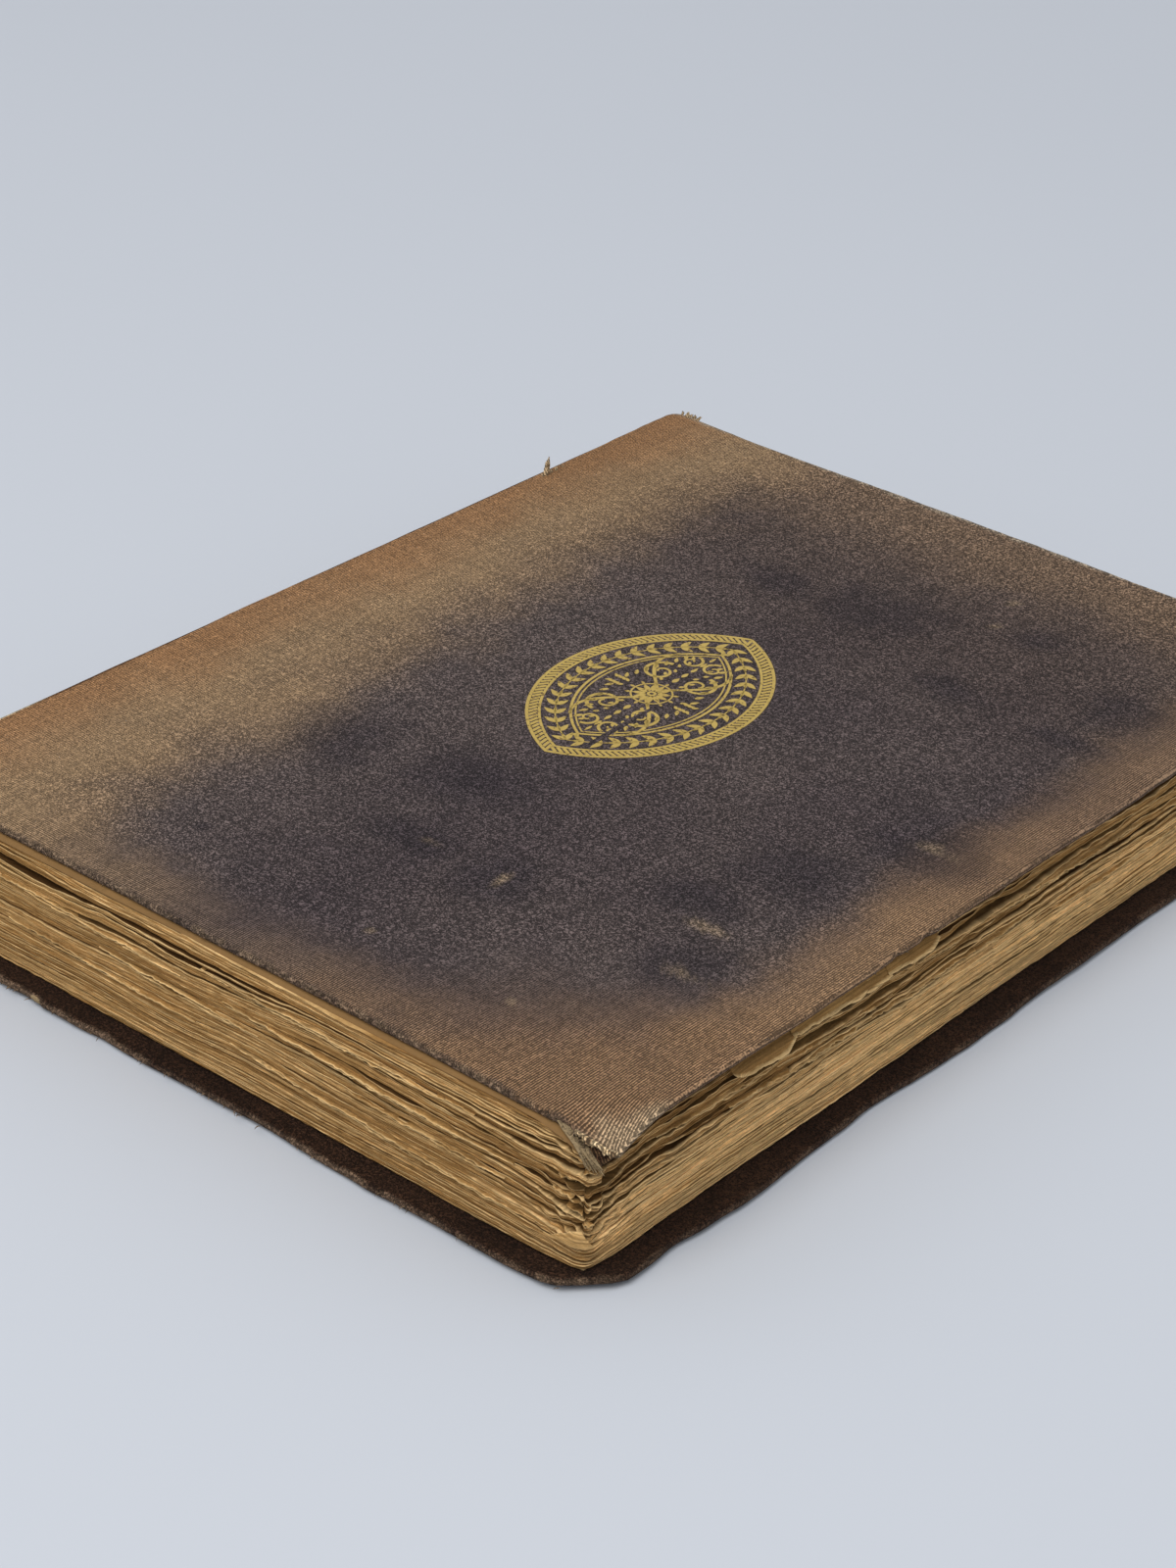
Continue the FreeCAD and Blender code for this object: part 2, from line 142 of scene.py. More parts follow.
def tube_faces(rows, columns):
    """Quads for rows of closed loops."""
    row = np.arange(rows - 1)[:, None]
    column = np.arange(columns)[None, :]
    after = (column + 1) % columns
    above = row + 1
    quads = [row * columns + column, row * columns + after, above * columns + after, above * columns + column]
    return np.stack(quads, -1).reshape(-1, 4).tolist()


def closed_loops(loops):
    """Points and faces of a closed skin: a stack of loops with a cap on each end."""
    rows, columns = loops.shape[:2]
    faces = tube_faces(rows, columns)
    faces.append(list(range(columns))[::-1])
    faces.append(list(range((rows - 1) * columns, rows * columns)))
    return loops.reshape(-1, 3), faces


def grid(rows, columns):
    """Shares from 0 to 1 down the rows and across the columns of a sheet."""
    return np.linspace(0, 1, rows)[:, None], np.linspace(0, 1, columns)[None, :]


def thick_sheet(upper, lower):
    """Points and faces of a closed sheet between two grids of the same size."""
    rows, columns = upper.shape[:2]
    count = rows * columns
    index = np.arange(count).reshape(rows, columns)
    quads = np.stack([index[:-1, :-1], index[:-1, 1:], index[1:, 1:], index[1:, :-1]], -1).reshape(-1, 4)
    faces = quads.tolist() + (quads[:, ::-1] + count).tolist()
    rim = np.concatenate([index[0, :-1], index[:-1, -1], index[-1, :0:-1], index[:0:-1, 0]])
    following = np.roll(rim, -1)
    faces += np.stack([following, rim, rim + count, following + count], -1).tolist()
    return np.concatenate([upper.reshape(-1, 3), lower.reshape(-1, 3)]), faces


def join(parts):
    """Several (points, faces) as one."""
    points, faces, start = [], [], 0
    for part_points, part_faces in parts:
        points.append(np.asarray(part_points, float).reshape(-1, 3))
        faces += [[index + start for index in face] for face in part_faces]
        start += len(points[-1])
    return np.concatenate(points), faces


def set_value(piece, name, values):
    """A number for each point, for the material to read."""
    attribute = piece.data.attributes.new(name, "FLOAT", "POINT")
    attribute.data.foreach_set("value", np.asarray(values, np.float32).ravel())


def set_paint(piece, colours):
    """A linear colour for each point, for the material to read."""
    colours = np.clip(np.asarray(colours, np.float32).reshape(-1, 3), 0, 1)
    attribute = piece.data.color_attributes.new("paint", "FLOAT_COLOR", "POINT")
    attribute.data.foreach_set("color", np.hstack([colours, np.ones((len(colours), 1), np.float32)]).ravel())


# Materials
def colour(red, green, blue):
    """An sRGB colour of 0 to 255 as the linear one that shaders take."""
    out = []
    for value in (red, green, blue):
        value /= 255
        out.append(value / 12.92 if value <= 0.04045 else ((value + 0.055) / 1.055) ** 2.4)
    return (*out, 1.0)


class Material:
    """A node material, with short ways to add what this book needs."""

    def __init__(self, name, roughness, specular=0.3):
        self.made = bpy.data.materials.new(name)
        self.made.use_nodes = True
        self.tree = self.made.node_tree
        self.shader = self.tree.nodes["Principled BSDF"]
        self.shader.inputs["Roughness"].default_value = roughness
        self.shader.inputs["Specular IOR Level"].default_value = specular
        place = self.tree.nodes.new("ShaderNodeTexCoord")
        self.place = place.outputs["Object"]
        split = self.node("ShaderNodeSeparateXYZ", Vector=self.place)
        self.x, self.y, self.z = split.outputs

    def node(self, kind, **sockets):
        """A node with its sockets set or linked by name."""
        made = self.tree.nodes.new(kind)
        for name, value in sockets.items():
            self.feed(made.inputs[name.replace("_", " ")], value)
        return made

    def feed(self, socket, value):
        """Link the socket, or set it when the value is a plain one."""
        if isinstance(value, bpy.types.NodeSocket):
            self.tree.links.new(value, socket)
        else:
            socket.default_value = value

    def math(self, operation, *values):
        """One step of arithmetic on sockets or numbers."""
        made = self.tree.nodes.new("ShaderNodeMath")
        made.operation = operation
        for socket, value in zip(made.inputs, values):
            self.feed(socket, value)
        return made.outputs[0]

    def noise(self, size, detail=3.0, distortion=0.0, stretch=None, roughness=0.55):
        """Noise with features of that size in millimetres, 0 to 1 about a half."""
        vector = self.place
        if stretch:
            vector = self.node("ShaderNodeVectorMath", Vector=self.place)
            vector.operation = "MULTIPLY"
            vector.inputs[1].default_value = stretch
            vector = vector.outputs[0]
        made = self.node("ShaderNodeTexNoise", Vector=vector, Scale=1 / (size * MM), Detail=detail,
                         Distortion=distortion, Roughness=roughness)
        return made.outputs["Fac"]

    def between(self, value, low, high, start=0.0, end=1.0):
        """The value as a smooth step from start to end while it goes from low to high."""
        made = self.tree.nodes.new("ShaderNodeMapRange")
        made.interpolation_type = "SMOOTHSTEP"
        for name, amount in (("Value", value), ("From Min", low), ("From Max", high),
                             ("To Min", start), ("To Max", end)):
            self.feed(made.inputs[name], amount)
        return made.outputs["Result"]

    def mix(self, share, first, second):
        """The first colour moved towards the second by the share."""
        made = self.tree.nodes.new("ShaderNodeMix")
        made.data_type = "RGBA"
        self.feed(made.inputs["Factor"], share)
        self.feed(made.inputs[6], first)
        self.feed(made.inputs[7], second)
        return made.outputs[2]

    def attribute(self, name, output="Fac"):
        """What the mesh carries under that name."""
        made = self.tree.nodes.new("ShaderNodeAttribute")
        made.attribute_name = name
        return made.outputs[output]

    def bump(self, height, depth, strength=1.0):
        """A relief of that depth in millimetres."""
        made = self.node("ShaderNodeBump", Height=height, Distance=depth * MM, Strength=strength)
        return made.outputs["Normal"]

    def painted(self, light):
        """The colour painted on the mesh, made lighter or darker."""
        shade = self.node("ShaderNodeVectorMath", Vector=self.attribute("paint", "Color"))
        shade.operation = "SCALE"
        self.feed(shade.inputs["Scale"], light)
        return shade.outputs[0]

    def finish(self, base, normal=None, roughness=None):
        """The material with its colour, and its relief and roughness if given."""
        self.feed(self.shader.inputs["Base Color"], base)
        if normal:
            self.tree.links.new(normal, self.shader.inputs["Normal"])
        if roughness:
            self.tree.links.new(roughness, self.shader.inputs["Roughness"])
        return self.made


# From one thread of the cloth to the next
THREAD_PITCH = 0.57


def weave(m):
    """The threads of the cloth: those running from tail to head stand out, crossed by finer ones."""
    turn = 2 * math.pi / (THREAD_PITCH * MM)
    waver = m.noise(9, 1)
    flat = m.math("ADD", m.x, m.z)
    across = m.math("SINE", m.math("MULTIPLY_ADD", flat, turn, m.math("MULTIPLY", waver, 5.0)))
    along = m.math("SINE", m.math("MULTIPLY_ADD", m.y, turn * 0.8, m.math("MULTIPLY", waver, 9.0)))
    slubs = m.noise(THREAD_PITCH * 0.6, 1.0, 0.0, (1.0, 0.5, 1.0))
    threads = m.math("MULTIPLY_ADD", along, 0.10, m.math("MULTIPLY_ADD", slubs, 1.5, -0.25))
    return m.between(m.math("MULTIPLY_ADD", across, 0.33, threads), 0.1, 0.9)


def cloth_material():
    """Wrinkled grain where the cloth is sound, bare threads where it is worn, with painted shade in the hollows of
    their relief and painted highlight on its tops; the mesh brings the colours.
    """
    m = Material("book_cloth", 0.78, 0.14)
    worn = m.attribute("worn")
    frayed = m.attribute("frayed")
    wrinkles = m.between(m.noise(0.5, 0.7, 1.3), 0.38, 0.6)
    blend = m.node("ShaderNodeMix", Factor=worn)
    m.feed(blend.inputs[2], wrinkles)
    m.feed(blend.inputs[3], weave(m))
    height = blend.outputs[0]
    warp_streaks = m.noise(0.9, 1.0, 0.0, (1.0, 0.03, 1.0))
    weft_streaks = m.noise(1.1, 1.0, 0.0, (0.03, 1.0, 1.0))
    streaks = m.between(m.math("ADD", warp_streaks, weft_streaks), 0.7, 1.3, 0.88, 1.12)
    # Painted shade and highlight: the colour follows the relief, darker in its hollows and lighter on its tops.
    slope = m.math("MULTIPLY_ADD", worn, 0.1, 1.45)
    offset = m.math("MULTIPLY_ADD", worn, 0.08, 0.31)
    light = m.math("MULTIPLY", m.math("MULTIPLY_ADD", height, slope, offset), streaks)
    speckle = m.between(m.noise(0.5, 2.0), 0.4, 0.62, 0.6, 1.5)
    light = m.math("MULTIPLY", light, m.math("MULTIPLY_ADD", m.math("SUBTRACT", speckle, 1.0), frayed, 1.0))
    return m.finish(m.painted(light), m.bump(height, 0.6))


def leaf_material():
    """Old tan paper seen from its torn edges; the mesh brings the colours."""
    m = Material("deckled_leaves", 0.9, 0.06)
    lines = m.noise(2.0, 2, 0.0, (0.03, 0.03, 8.0))
    wisps = m.noise(1.0, 2, 0.4, (0.3, 0.3, 3.2))
    fibres = m.noise(0.5, 2, 0.0, (1.0, 1.0, 1.6))
    light = m.between(lines, 0.38, 0.62, 0.74, 1.16)
    light = m.math("MULTIPLY", light, m.between(fibres, 0.3, 0.7, 0.9, 1.1))
    light = m.math("MULTIPLY", light, m.between(wisps, 0.34, 0.66, 0.88, 1.1))
    return m.finish(m.painted(light), m.bump(m.math("ADD", fibres, wisps), 0.14, 0.8))


def paper_material(name, light, dark):
    """Flat old paper with foxing and a browned edge."""
    m = Material(name, 0.85, 0.2)
    base = m.mix(m.noise(45, 5), light, dark)
    edge_x = m.math("ABSOLUTE", m.x)
    browned = m.between(m.math("ADD", edge_x, m.math("MULTIPLY", m.noise(9, 4), 0.012)), 0.082, 0.104)
    base = m.mix(m.math("MULTIPLY", browned, 0.6), base, colour(150, 112, 66))
    base = m.mix(m.between(m.noise(3.5, 4), 0.66, 0.76, 0.0, 0.5), base, colour(146, 100, 56))
    return m.finish(base, m.bump(m.noise(0.8, 5), 0.05, 0.6))


def flyleaf_material():
    """The outermost leaves seen flat; the mesh brings the colours."""
    m = Material("flyleaf_paper", 0.85, 0.15)
    fibres = m.noise(0.9, 4)
    mottle = m.between(m.noise(7, 4), 0.35, 0.65, 0.94, 1.04)
    light = m.math("MULTIPLY", m.between(fibres, 0.35, 0.65, 0.96, 1.03), mottle)
    return m.finish(m.painted(light), m.bump(fibres, 0.05, 0.6))


def board_material():
    """Rough grey-brown pasteboard."""
    m = Material("pasteboard", 0.9, 0.15)
    base = m.mix(m.noise(1.6, 5, 0.0, (1, 1, 4)), colour(120, 100, 72), colour(172, 150, 114))
    base = m.mix(m.between(m.noise(0.6, 4, 0.0, (1, 1, 3)), 0.5, 0.66, 0.0, 0.8), base, colour(58, 46, 34))
    return m.finish(base, m.bump(m.noise(0.35, 4), 0.12, 0.9))


GILT_METAL = 0.55


def gilt_material():
    """Gold leaf, rubbed through to the cloth in specks."""
    m = Material("gold_leaf", 0.38, 0.5)
    m.shader.inputs["Metallic"].default_value = GILT_METAL
    base = m.mix(m.noise(4, 5), colour(224, 192, 98), colour(188, 156, 70))
    rubbed = m.between(m.noise(1.1, 5), 0.56, 0.68, 0.0, 0.75)
    base = m.mix(rubbed, base, colour(104, 82, 58))
    rough = m.between(rubbed, 0.0, 0.8, 0.36, 0.8)
    return m.finish(base, m.bump(m.noise(0.8, 2), 0.1, 0.6), rough)


def linen_material(name, light, dark):
    """Plain woven linen."""
    m = Material(name, 0.85, 0.2)
    base = m.mix(m.noise(6, 4), light, dark)
    threads = weave(m)
    base = m.mix(m.between(threads, 0.1, 0.5, 0.5, 0.0), base, colour(92, 74, 52))
    return m.finish(base, m.bump(threads, 0.1, 0.8))


BOOK_CLOTH = cloth_material()
LEAVES = leaf_material()
FLYLEAF = flyleaf_material()
ENDPAPER = paper_material("endpaper", colour(206, 186, 146), colour(188, 162, 118))
LINING = paper_material("spine_paper", colour(150, 122, 86), colour(124, 98, 66))
BOARD = board_material()
GILT = gilt_material()
MULL = linen_material("mull", colour(198, 184, 154), colour(170, 152, 120))
TAPE = linen_material("linen_tape", colour(206, 194, 168), colour(178, 164, 134))


# How the covers have warped
FRONT_WAVE = 0.22
CORNER_DROP = 5.2
CORNER_REACH = 17
# The wave is calm this near the corner, and whole after it has grown over the next distance
CALM_REACH = 9
CALM_GROWTH = 25
BACK_CURL = 0.55
BACK_CURL_WIDTH = 9
BACK_CORNER_CURL = 1.5
BACK_CORNER_REACH = 22


def front_lift(x, y):
    """How far the front cover stands above its flat place at each point."""
    wave = FRONT_WAVE * (1 + noise(x / 70, y / 70, 1))
    from_corner = np.hypot(x - NEAR_CORNER[0], (y - NEAR_CORNER[1]) * 0.9)
    drop = CORNER_DROP * np.clip(1 - from_corner / CORNER_REACH, 0, 1) ** 1.7
    return wave * ease((from_corner - CALM_REACH) / CALM_GROWTH) - drop


def back_lift(x, y):
    """How far the back cover's margins curl up from the table."""
    margin = np.minimum.reduce([BACK_HIGH[0] - x, y - BACK_LOW[1], BACK_HIGH[1] - y])
    curl = BACK_CURL * ease(1 - margin / BACK_CURL_WIDTH) * (1 + 0.6 * noise(x / 33, y / 33, 4))
    from_corner = np.hypot(x - BACK_HIGH[0], y - BACK_LOW[1])
    return curl + BACK_CORNER_CURL * ease(1 - from_corner / BACK_CORNER_REACH)


# Stains and wear of the cloth
def mixed(base, other, share):
    """The base colours moved towards another by a share for each point."""
    return base + (np.asarray(other[:3]) - base) * np.clip(share, 0, 1)[..., None]


def fall(distance, near, far):
    """1 up to the near distance and nothing from the far one."""
    return 1 - ease((distance - near) / (far - near))


# Stains on the front cover: distance from the fore-edge, from the tail, and the half sizes
DARK_STAINS = [
    (93, 213, 19, 12), (120, 209, 12, 8), (23, 210, 11, 10), (17, 129, 15, 13), (35, 102, 14, 12),
    (43, 80, 10, 8), (112, 85, 14, 13), (142, 79, 13, 15), (78, 57, 10, 10), (103, 57, 12, 6),
    (30, 57, 12, 10), (57, 227, 7, 6), (58, 192, 9, 6), (23, 190, 10, 5), (137, 30, 2.2, 2.2),
]
PALE_STAINS = [
    (73, 239, 1.4, 2.0), (69, 226, 1.2, 1.8), (97, 58, 3.4, 0.8), (77, 57, 1.3, 3.4), (45, 24, 1.4, 1.4),
    (83, 24, 0.9, 1.2), (34, 72, 5.0, 1.6), (26, 55, 5.0, 2.0), (18, 130, 4.5, 2.2),
]


def stained(x, y, places, uneven):
    """How dark or pale the stains make each point."""
    share = np.zeros(x.shape)
    for from_fore, from_tail, half_x, half_y in places:
        across = (x - FRONT_HIGH[0] + from_fore) / half_x
        along = (y - FRONT_LOW[1] - from_tail) / half_y
        share = np.maximum(share, fall(np.hypot(across, along) + uneven, 0.3, 1.4))
    return share


def layered(shape, first, coats):
    """Coats of colour over a first one, each with its share at each point."""
    base = mixed(np.zeros((*shape, 3)), colour(*first), np.ones(shape))
    for tint, share in coats:
        base = mixed(base, colour(*tint), share)
    return base


def front_paint(x, y, rim, under):
    """Colours and wear of the front cloth; rim is the distance in from its edge."""
    spine, fore = x - FRONT_LOW[0], FRONT_HIGH[0] - x
    tail, head = y - FRONT_LOW[1], FRONT_HIGH[1] - y
    small = cloud(x, y, 8, 5)
    shift = 8 * cloud(x, y, 40, 1) + 5 * cloud(x, y, 17, 12) + 4 * small
    uneven = 0.35 * small + 0.2 * cloud(x, y, 3, 7)
    near_corner = fore * 0.75 + tail + 0.8 * shift
    spine_tail = spine * 0.8 + tail * 0.7 + shift
    on_tail = fall(tail, 1.0, 3.0)
    ragged = rim + 0.8 * noise(x / 1.3, y / 1.3, 15) + 0.5 * noise(x / 4, y / 4, 16)
    frayed = rim + 1.2 * noise(x / 1.1, y / 1.1, 17)
    chipped = hollows(x, y, CHIPS, FRONT_HIGH[0], FRONT_LOW[1])
    bare_corner = fore * 1.5 + np.abs(tail - 6) * 0.8 + 6 * small
    left_side = fall(spine + 1.5 * shift, 60, 118) * fall(tail, 150, 230)
    fore_band = (1.0 - 0.35 * ease((tail - 90) / 90)) * fall(fore + 0.6 * shift, 3, 24)
    base = layered(x.shape, (72, 62, 64), [
        ((94, 82, 78), 0.45 + 0.6 * cloud(x, y, 60, 9)),
        ((98, 82, 72), 0.65 * ease((tail - 150) / 90)),
        ((104, 91, 85), 0.6 * left_side),
        ((130, 106, 84), 0.9 * fall(head + 0.8 * shift, 4, 44)),
        ((112, 92, 76), 0.75 * fall(tail + 0.7 * shift, 0, 22)),
        ((146, 115, 85), fore_band),
        ((138, 107, 78), 0.95 * fall(near_corner, 24, 80)),
        ((150, 122, 92), 0.95 * fall(spine_tail, 22, 74)),
        ((160, 131, 98), fall(spine + 0.8 * shift, 22, 62)),
        ((160, 117, 78), 0.9 * fall(spine + 0.6 * shift, 3, 28)),
        ((46, 40, 46), 0.52 * stained(x, y, DARK_STAINS, uneven)),
        ((150, 128, 102), 0.6 * stained(x, y, PALE_STAINS, 2.0 * uneven + 0.1)),
        ((84, 70, 60), (0.2 + 0.5 * on_tail) * fall(ragged, 0.1, 1.5)),
        ((150, 126, 100), (0.15 + 0.3 * on_tail) * fall(frayed, -0.4, 0.7)),
        ((46, 32, 24), 1.8 * (chipped - 0.2) * fall(rim, 0.4, 1.8)),
        ((176, 162, 140), 0.6 * fall(head + 0.8 * noise(x / 3, 0, 18), 0.6, 2.6)),
        ((196, 172, 138), 0.55 * fall(bare_corner, 2, 15)),
        ((74, 62, 58), under),
    ])
    worn = np.maximum.reduce([
        fall(near_corner, 34, 92),
        0.7 * fall(spine + shift, 8, 58),
        0.85 * fall(np.minimum(fore, tail) + 0.4 * shift, 4, 22),
        0.6 * fall(spine_tail, 20, 66),
    ])
    whole_tail = on_tail * (0.75 - 0.75 * ease(rim / 1.2))
    return base, np.clip((0.06 + worn) * (1 - whole_tail), 0, 1)


def back_paint(x, y, rim, under):
    """Colours and wear of the back cloth, whose inner side shows round the leaves."""
    fore, tail = BACK_HIGH[0] - x, y - BACK_LOW[1]
    on_tail = fall(tail - 0.3 * fore, 0, 8)
    ragged = rim + 0.5 * noise(x / 1.4, y / 1.4, 22) + 0.5 * noise(x / 6, y / 6, 23)
    rim_share = fall(ragged, -0.2, 0.8)
    near_corner = fall(fore + tail + 3 * noise(x / 3, y / 3, 24), 6, 13)
    outside = ease(2 * np.asarray(under) - 1) * (0.8 + 0.3 * cloud(x, y, 30, 30))
    from_mitre = np.abs((fore - tail) * 0.72) + 0.12 * noise(x, y, 25)
    mitre = fall(from_mitre, 0.2, 0.6) * (1 - rim_share) * (1 - np.asarray(under))
    base = layered(x.shape, (44, 29, 21), [
        ((60, 41, 29), 0.5 + 0.6 * cloud(x, y, 14, 21)),
        ((122, 100, 80), rim_share * (0.35 + 0.45 * on_tail)),
        ((150, 128, 98), 0.6 * near_corner * fall(rim, 0.6, 2.6)),
        ((82, 68, 60), outside),
        ((30, 20, 14), 0.8 * mitre),
    ])
    return base, np.clip(0.15 + 0.2 * rim_share, 0, 1)


def spine_paint(x, y):
    """Colours and wear of the spine's cloth."""
    ends = np.minimum(y - SPINE_LOW[1], SPINE_HIGH[1] - y)
    base = layered(x.shape, (146, 102, 66), [
        ((116, 84, 60), 0.5 + 0.7 * cloud(y, x, 16, 26)),
        ((84, 64, 52), 0.7 * fall(ends + 8 * cloud(y, x, 10, 27), 0, 22)),
        ((150, 130, 106), 0.6 * fall(ends + 1.5 * noise(x, y, 28), 0.1, 1.6)),
    ])
    return base, np.clip(0.5 + 0.4 * cloud(y, x, 20, 29), 0, 1)


# The covers
def run(start, end, step):
    """Points from start up to, but not at, end."""
    start, end = np.asarray(start, float), np.asarray(end, float)
    count = max(2, round(np.linalg.norm(end - start) / step))
    share = np.linspace(0, 1, count, endpoint=False)[:, None]
    return start + (end - start) * share


def arc_run(centre, radius, start, end, count):
    """Points along an arc, from one angle up to, but not at, another."""
    angle = np.radians(np.linspace(start, end, count, endpoint=False))[:, None]
    return np.asarray(centre, float) + radius * np.hstack([np.cos(angle), np.sin(angle)])


def cover_outline(low, high, corners, torn, step):
    """The outline from the spine's tail end on: tail, fore-edge, head and spine, as an array of points."""
    x0, y0, x1, y1 = low[0], low[1], high[0], high[1]
    spine_tail, fore_tail, fore_head, spine_head = corners
    step = step
    if torn:
        corner_step = 0.4
        corner = [(x1 - torn, y0), (x1 - torn + 0.8, y0 + 1.0), (x1 - 8.0, y0 + 0.8),
                  (x1 - 5.0, y0 + 1.6), (x1 - 1.6, y0 + 2.4), (x1, y0 + 3.6)]
    else:
        corner_step = 0.8
        corner = [(x1 - fore_tail, y0), (x1 - fore_tail * 0.72, y0 + fore_tail * 0.09),
                  (x1 - fore_tail * 0.12, y0 + fore_tail * 0.72), (x1, y0 + fore_tail)]
    pieces = [
        arc_run((x0 + spine_tail, y0 + spine_tail), spine_tail, 180, 270, 4),
        run((x0 + spine_tail, y0), corner[0], step),
    ]
    pieces += [run(first, second, corner_step) for first, second in zip(corner, corner[1:])]
    pieces += [
        run(corner[-1], (x1, y1 - fore_head), step),
        arc_run((x1 - fore_head, y1 - fore_head), fore_head, 0, 90, 8),
        run((x1 - fore_head, y1), (x0 + spine_head, y1), step),
        arc_run((x0 + spine_head, y1 - spine_head), spine_head, 90, 180, 6),
        run((x0, y1 - spine_head), (x0, y0 + spine_tail), step),
    ]
    return np.concatenate(pieces)


def outward(outline):
    """Unit directions away from a closed outline that runs anticlockwise."""
    along = np.roll(outline, -1, 0) - np.roll(outline, 1, 0)
    normal = np.stack([along[:, 1], -along[:, 0]], -1)
    return normal / np.linalg.norm(normal, axis=1)[:, None]


# Hollows along the back cover's edge: distances from the fore-edge and the tail, half length and depth
HOLLOWS = [
    (0, 29, 9, 0.9), (0, 96, 12, 1.1), (0, 160, 20, 0.6),
    (86, 0, 12, 0.9), (40, 0, 14, 0.5), (140, 0, 20, 0.5),
]
# Chips in the front cover's edge, told in the same way
CHIPS = [(0, 102, 1.7, 0.6), (0, 92, 1.4, 0.5), (13, 0, 1.6, 0.6)]


def hollows(x, y, places, fore_x, tail_y):
    """How far the edge is set back at each point."""
    depth = 0.0
    for from_fore, from_tail, half_length, most in places:
        away = np.hypot(fore_x - x - from_fore, y - tail_y - from_tail)
        depth = depth + most * hump(away, half_length)
    return depth


class Cover:
    """What one cover's cloth and board share: its box, outline, warp, edge and colours."""

    def __init__(self, side, corners, torn, lift, rough_edge, notches, paint, seed, step):
        self.side = side
        self.low, self.high = box_mm(f"{side}_cloth")
        self.corners, self.torn, self.lift = corners, torn, lift
        self.rough_edge, self.notches, self.paint = rough_edge, notches, paint
        self.seed, self.step = seed, step
        self.half_width = (self.high[0] - self.low[0]) / 2

    def outline(self, step):
        """This cover's outline with points about a step apart."""
        return cover_outline(self.low, self.high, self.corners, self.torn, step)

    def plate(self, outline, rings):
        """The loops of a closed plate: each ring's distance in from the outline and its height, with the warp."""
        low, high = outline.min(0), outline.max(0)
        half = (high[0] - low[0]) / 2
        middle_y = np.clip(outline[:, 1], low[1] + half, high[1] - half)
        middle = np.stack([np.full(len(outline), low[0] + half), middle_y], -1)
        normal = outward(outline)
        walk = np.cumsum(np.linalg.norm(np.roll(outline, -1, 0) - outline, axis=1))
        wave = noise(walk / 38, 0.5, self.seed) + 0.35 * noise(walk / 7, 1.5, self.seed) - 0.6
        wave = self.rough_edge * wave
        wave = wave - hollows(outline[:, 0], outline[:, 1], self.notches, self.high[0], self.low[1])
        loops = []
        for inset, height, _ in rings:
            flat = outline + (middle - outline) * (inset / half)
            flat = flat + normal * (wave * hump(inset, 7))[:, None]
            ragged = 0.06 * noise(walk / 0.9, height * 2, self.seed + 1) * hump(inset, 1.0)
            z = height + self.lift(flat[:, 0], flat[:, 1]) + ragged
            loops.append(np.column_stack([flat, z]))
        return np.stack(loops)

    def skin(self, outline, depth, gap, fine=False):
        """Rings and loops of a plate so deep inside the cover's box; the gap is left open at its middle."""
        rings = skin_rings(self.low[2] + depth, self.high[2] - depth, self.half_width - gap, depth, fine)
        return rings, self.plate(outline, rings)


def skin_rings(low_z, high_z, half_width, cloth_inset, fine):
    """Rings of a plate's skin from the middle of its underside round its edge to the top's middle."""
    turn = (high_z - low_z) / 2
    innermost = half_width * 0.985
    near_rim = [15.5, 14, 12.6, 11.3, 10, 8.8, 7.7, 6.7, 5.8, 5, 4.2, 3.5, 2.9, 2.3, 1.8, 1.3]
    spacing = (1.7) if fine else 9.0
    if not fine:
        near_rim = near_rim[2::4]
    flat = list(np.linspace(innermost, 17, round((innermost - 17) / spacing))) + near_rim
    inner = [innermost, half_width * 0.7, 40, 20, 10, 6.5, 4, 2.4]
    rings = [(inset + cloth_inset, low_z, 1.0) for inset in inner]
    for angle in (-90, -60, -30, 0, 30, 60, 90):
        bend = math.radians(angle)
        inset = turn * (1 - math.cos(bend)) * 0.8
        under = float(np.interp(angle, (-90, 30), (1, 0)))
        rings.append((inset + cloth_inset, low_z + turn + turn * math.sin(bend), under))
    rings += [(inset + cloth_inset, high_z, 0.0) for inset in reversed(flat)]
    return rings


def cloth_piece(name, points, faces, body, colours, worn, frayed=None):
    """A piece of the book cloth with its colours, its wear and its frayed places."""
    piece = make_object(name, points, faces, BOOK_CLOTH, body)
    set_paint(piece, colours)
    set_value(piece, "worn", worn)
    if frayed is not None:
        set_value(piece, "frayed", frayed)
    return piece


def cover_cloth(name, cover):
    """The cloth as a hollow skin with the board's room inside."""
    outline = cover.outline(cover.step)
    rings, loops = cover.skin(outline, 0.0, 0.0, True)
    _, inner_loops = cover.skin(outline, CLOTH, CLOTH + BOARD_ROOM)
    inner_points, inner_faces = closed_loops(inner_loops)
    points, faces = join([closed_loops(loops), (inner_points, [face[::-1] for face in inner_faces])])
    hidden = len(inner_points)
    rim = np.repeat([ring[0] for ring in rings], len(outline))
    under = np.repeat([ring[2] for ring in rings], len(outline))
    outer = loops.reshape(-1, 3)
    colours, worn = cover.paint(outer[:, 0], outer[:, 1], rim, under)
    inside = np.tile(colour(120, 100, 80)[:3], (hidden, 1))
    at_tail = 0.25 + 0.75 * fall(outer[:, 1] - cover.low[1], 1.0, 3.0)
    frayed = 0.5 * at_tail * fall(rim, 0.3, 1.2)
    piece = cloth_piece(name, points, faces, cover.side, np.concatenate([colours, inside]),
                        np.concatenate([worn, np.ones(hidden)]), np.concatenate([frayed, np.zeros(hidden)]))
    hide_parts(f"{cover.side}_cloth")


def cover_board(name, node, cover):
    """The pasteboard inside the cloth."""
    gap = CLOTH + 0.03
    _, loops = cover.skin(cover.outline(3.0), gap, gap + BOARD_ROOM)
    points, faces = closed_loops(loops)
    piece = make_object(name, points, faces, BOARD, cover.side)
    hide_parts(node)


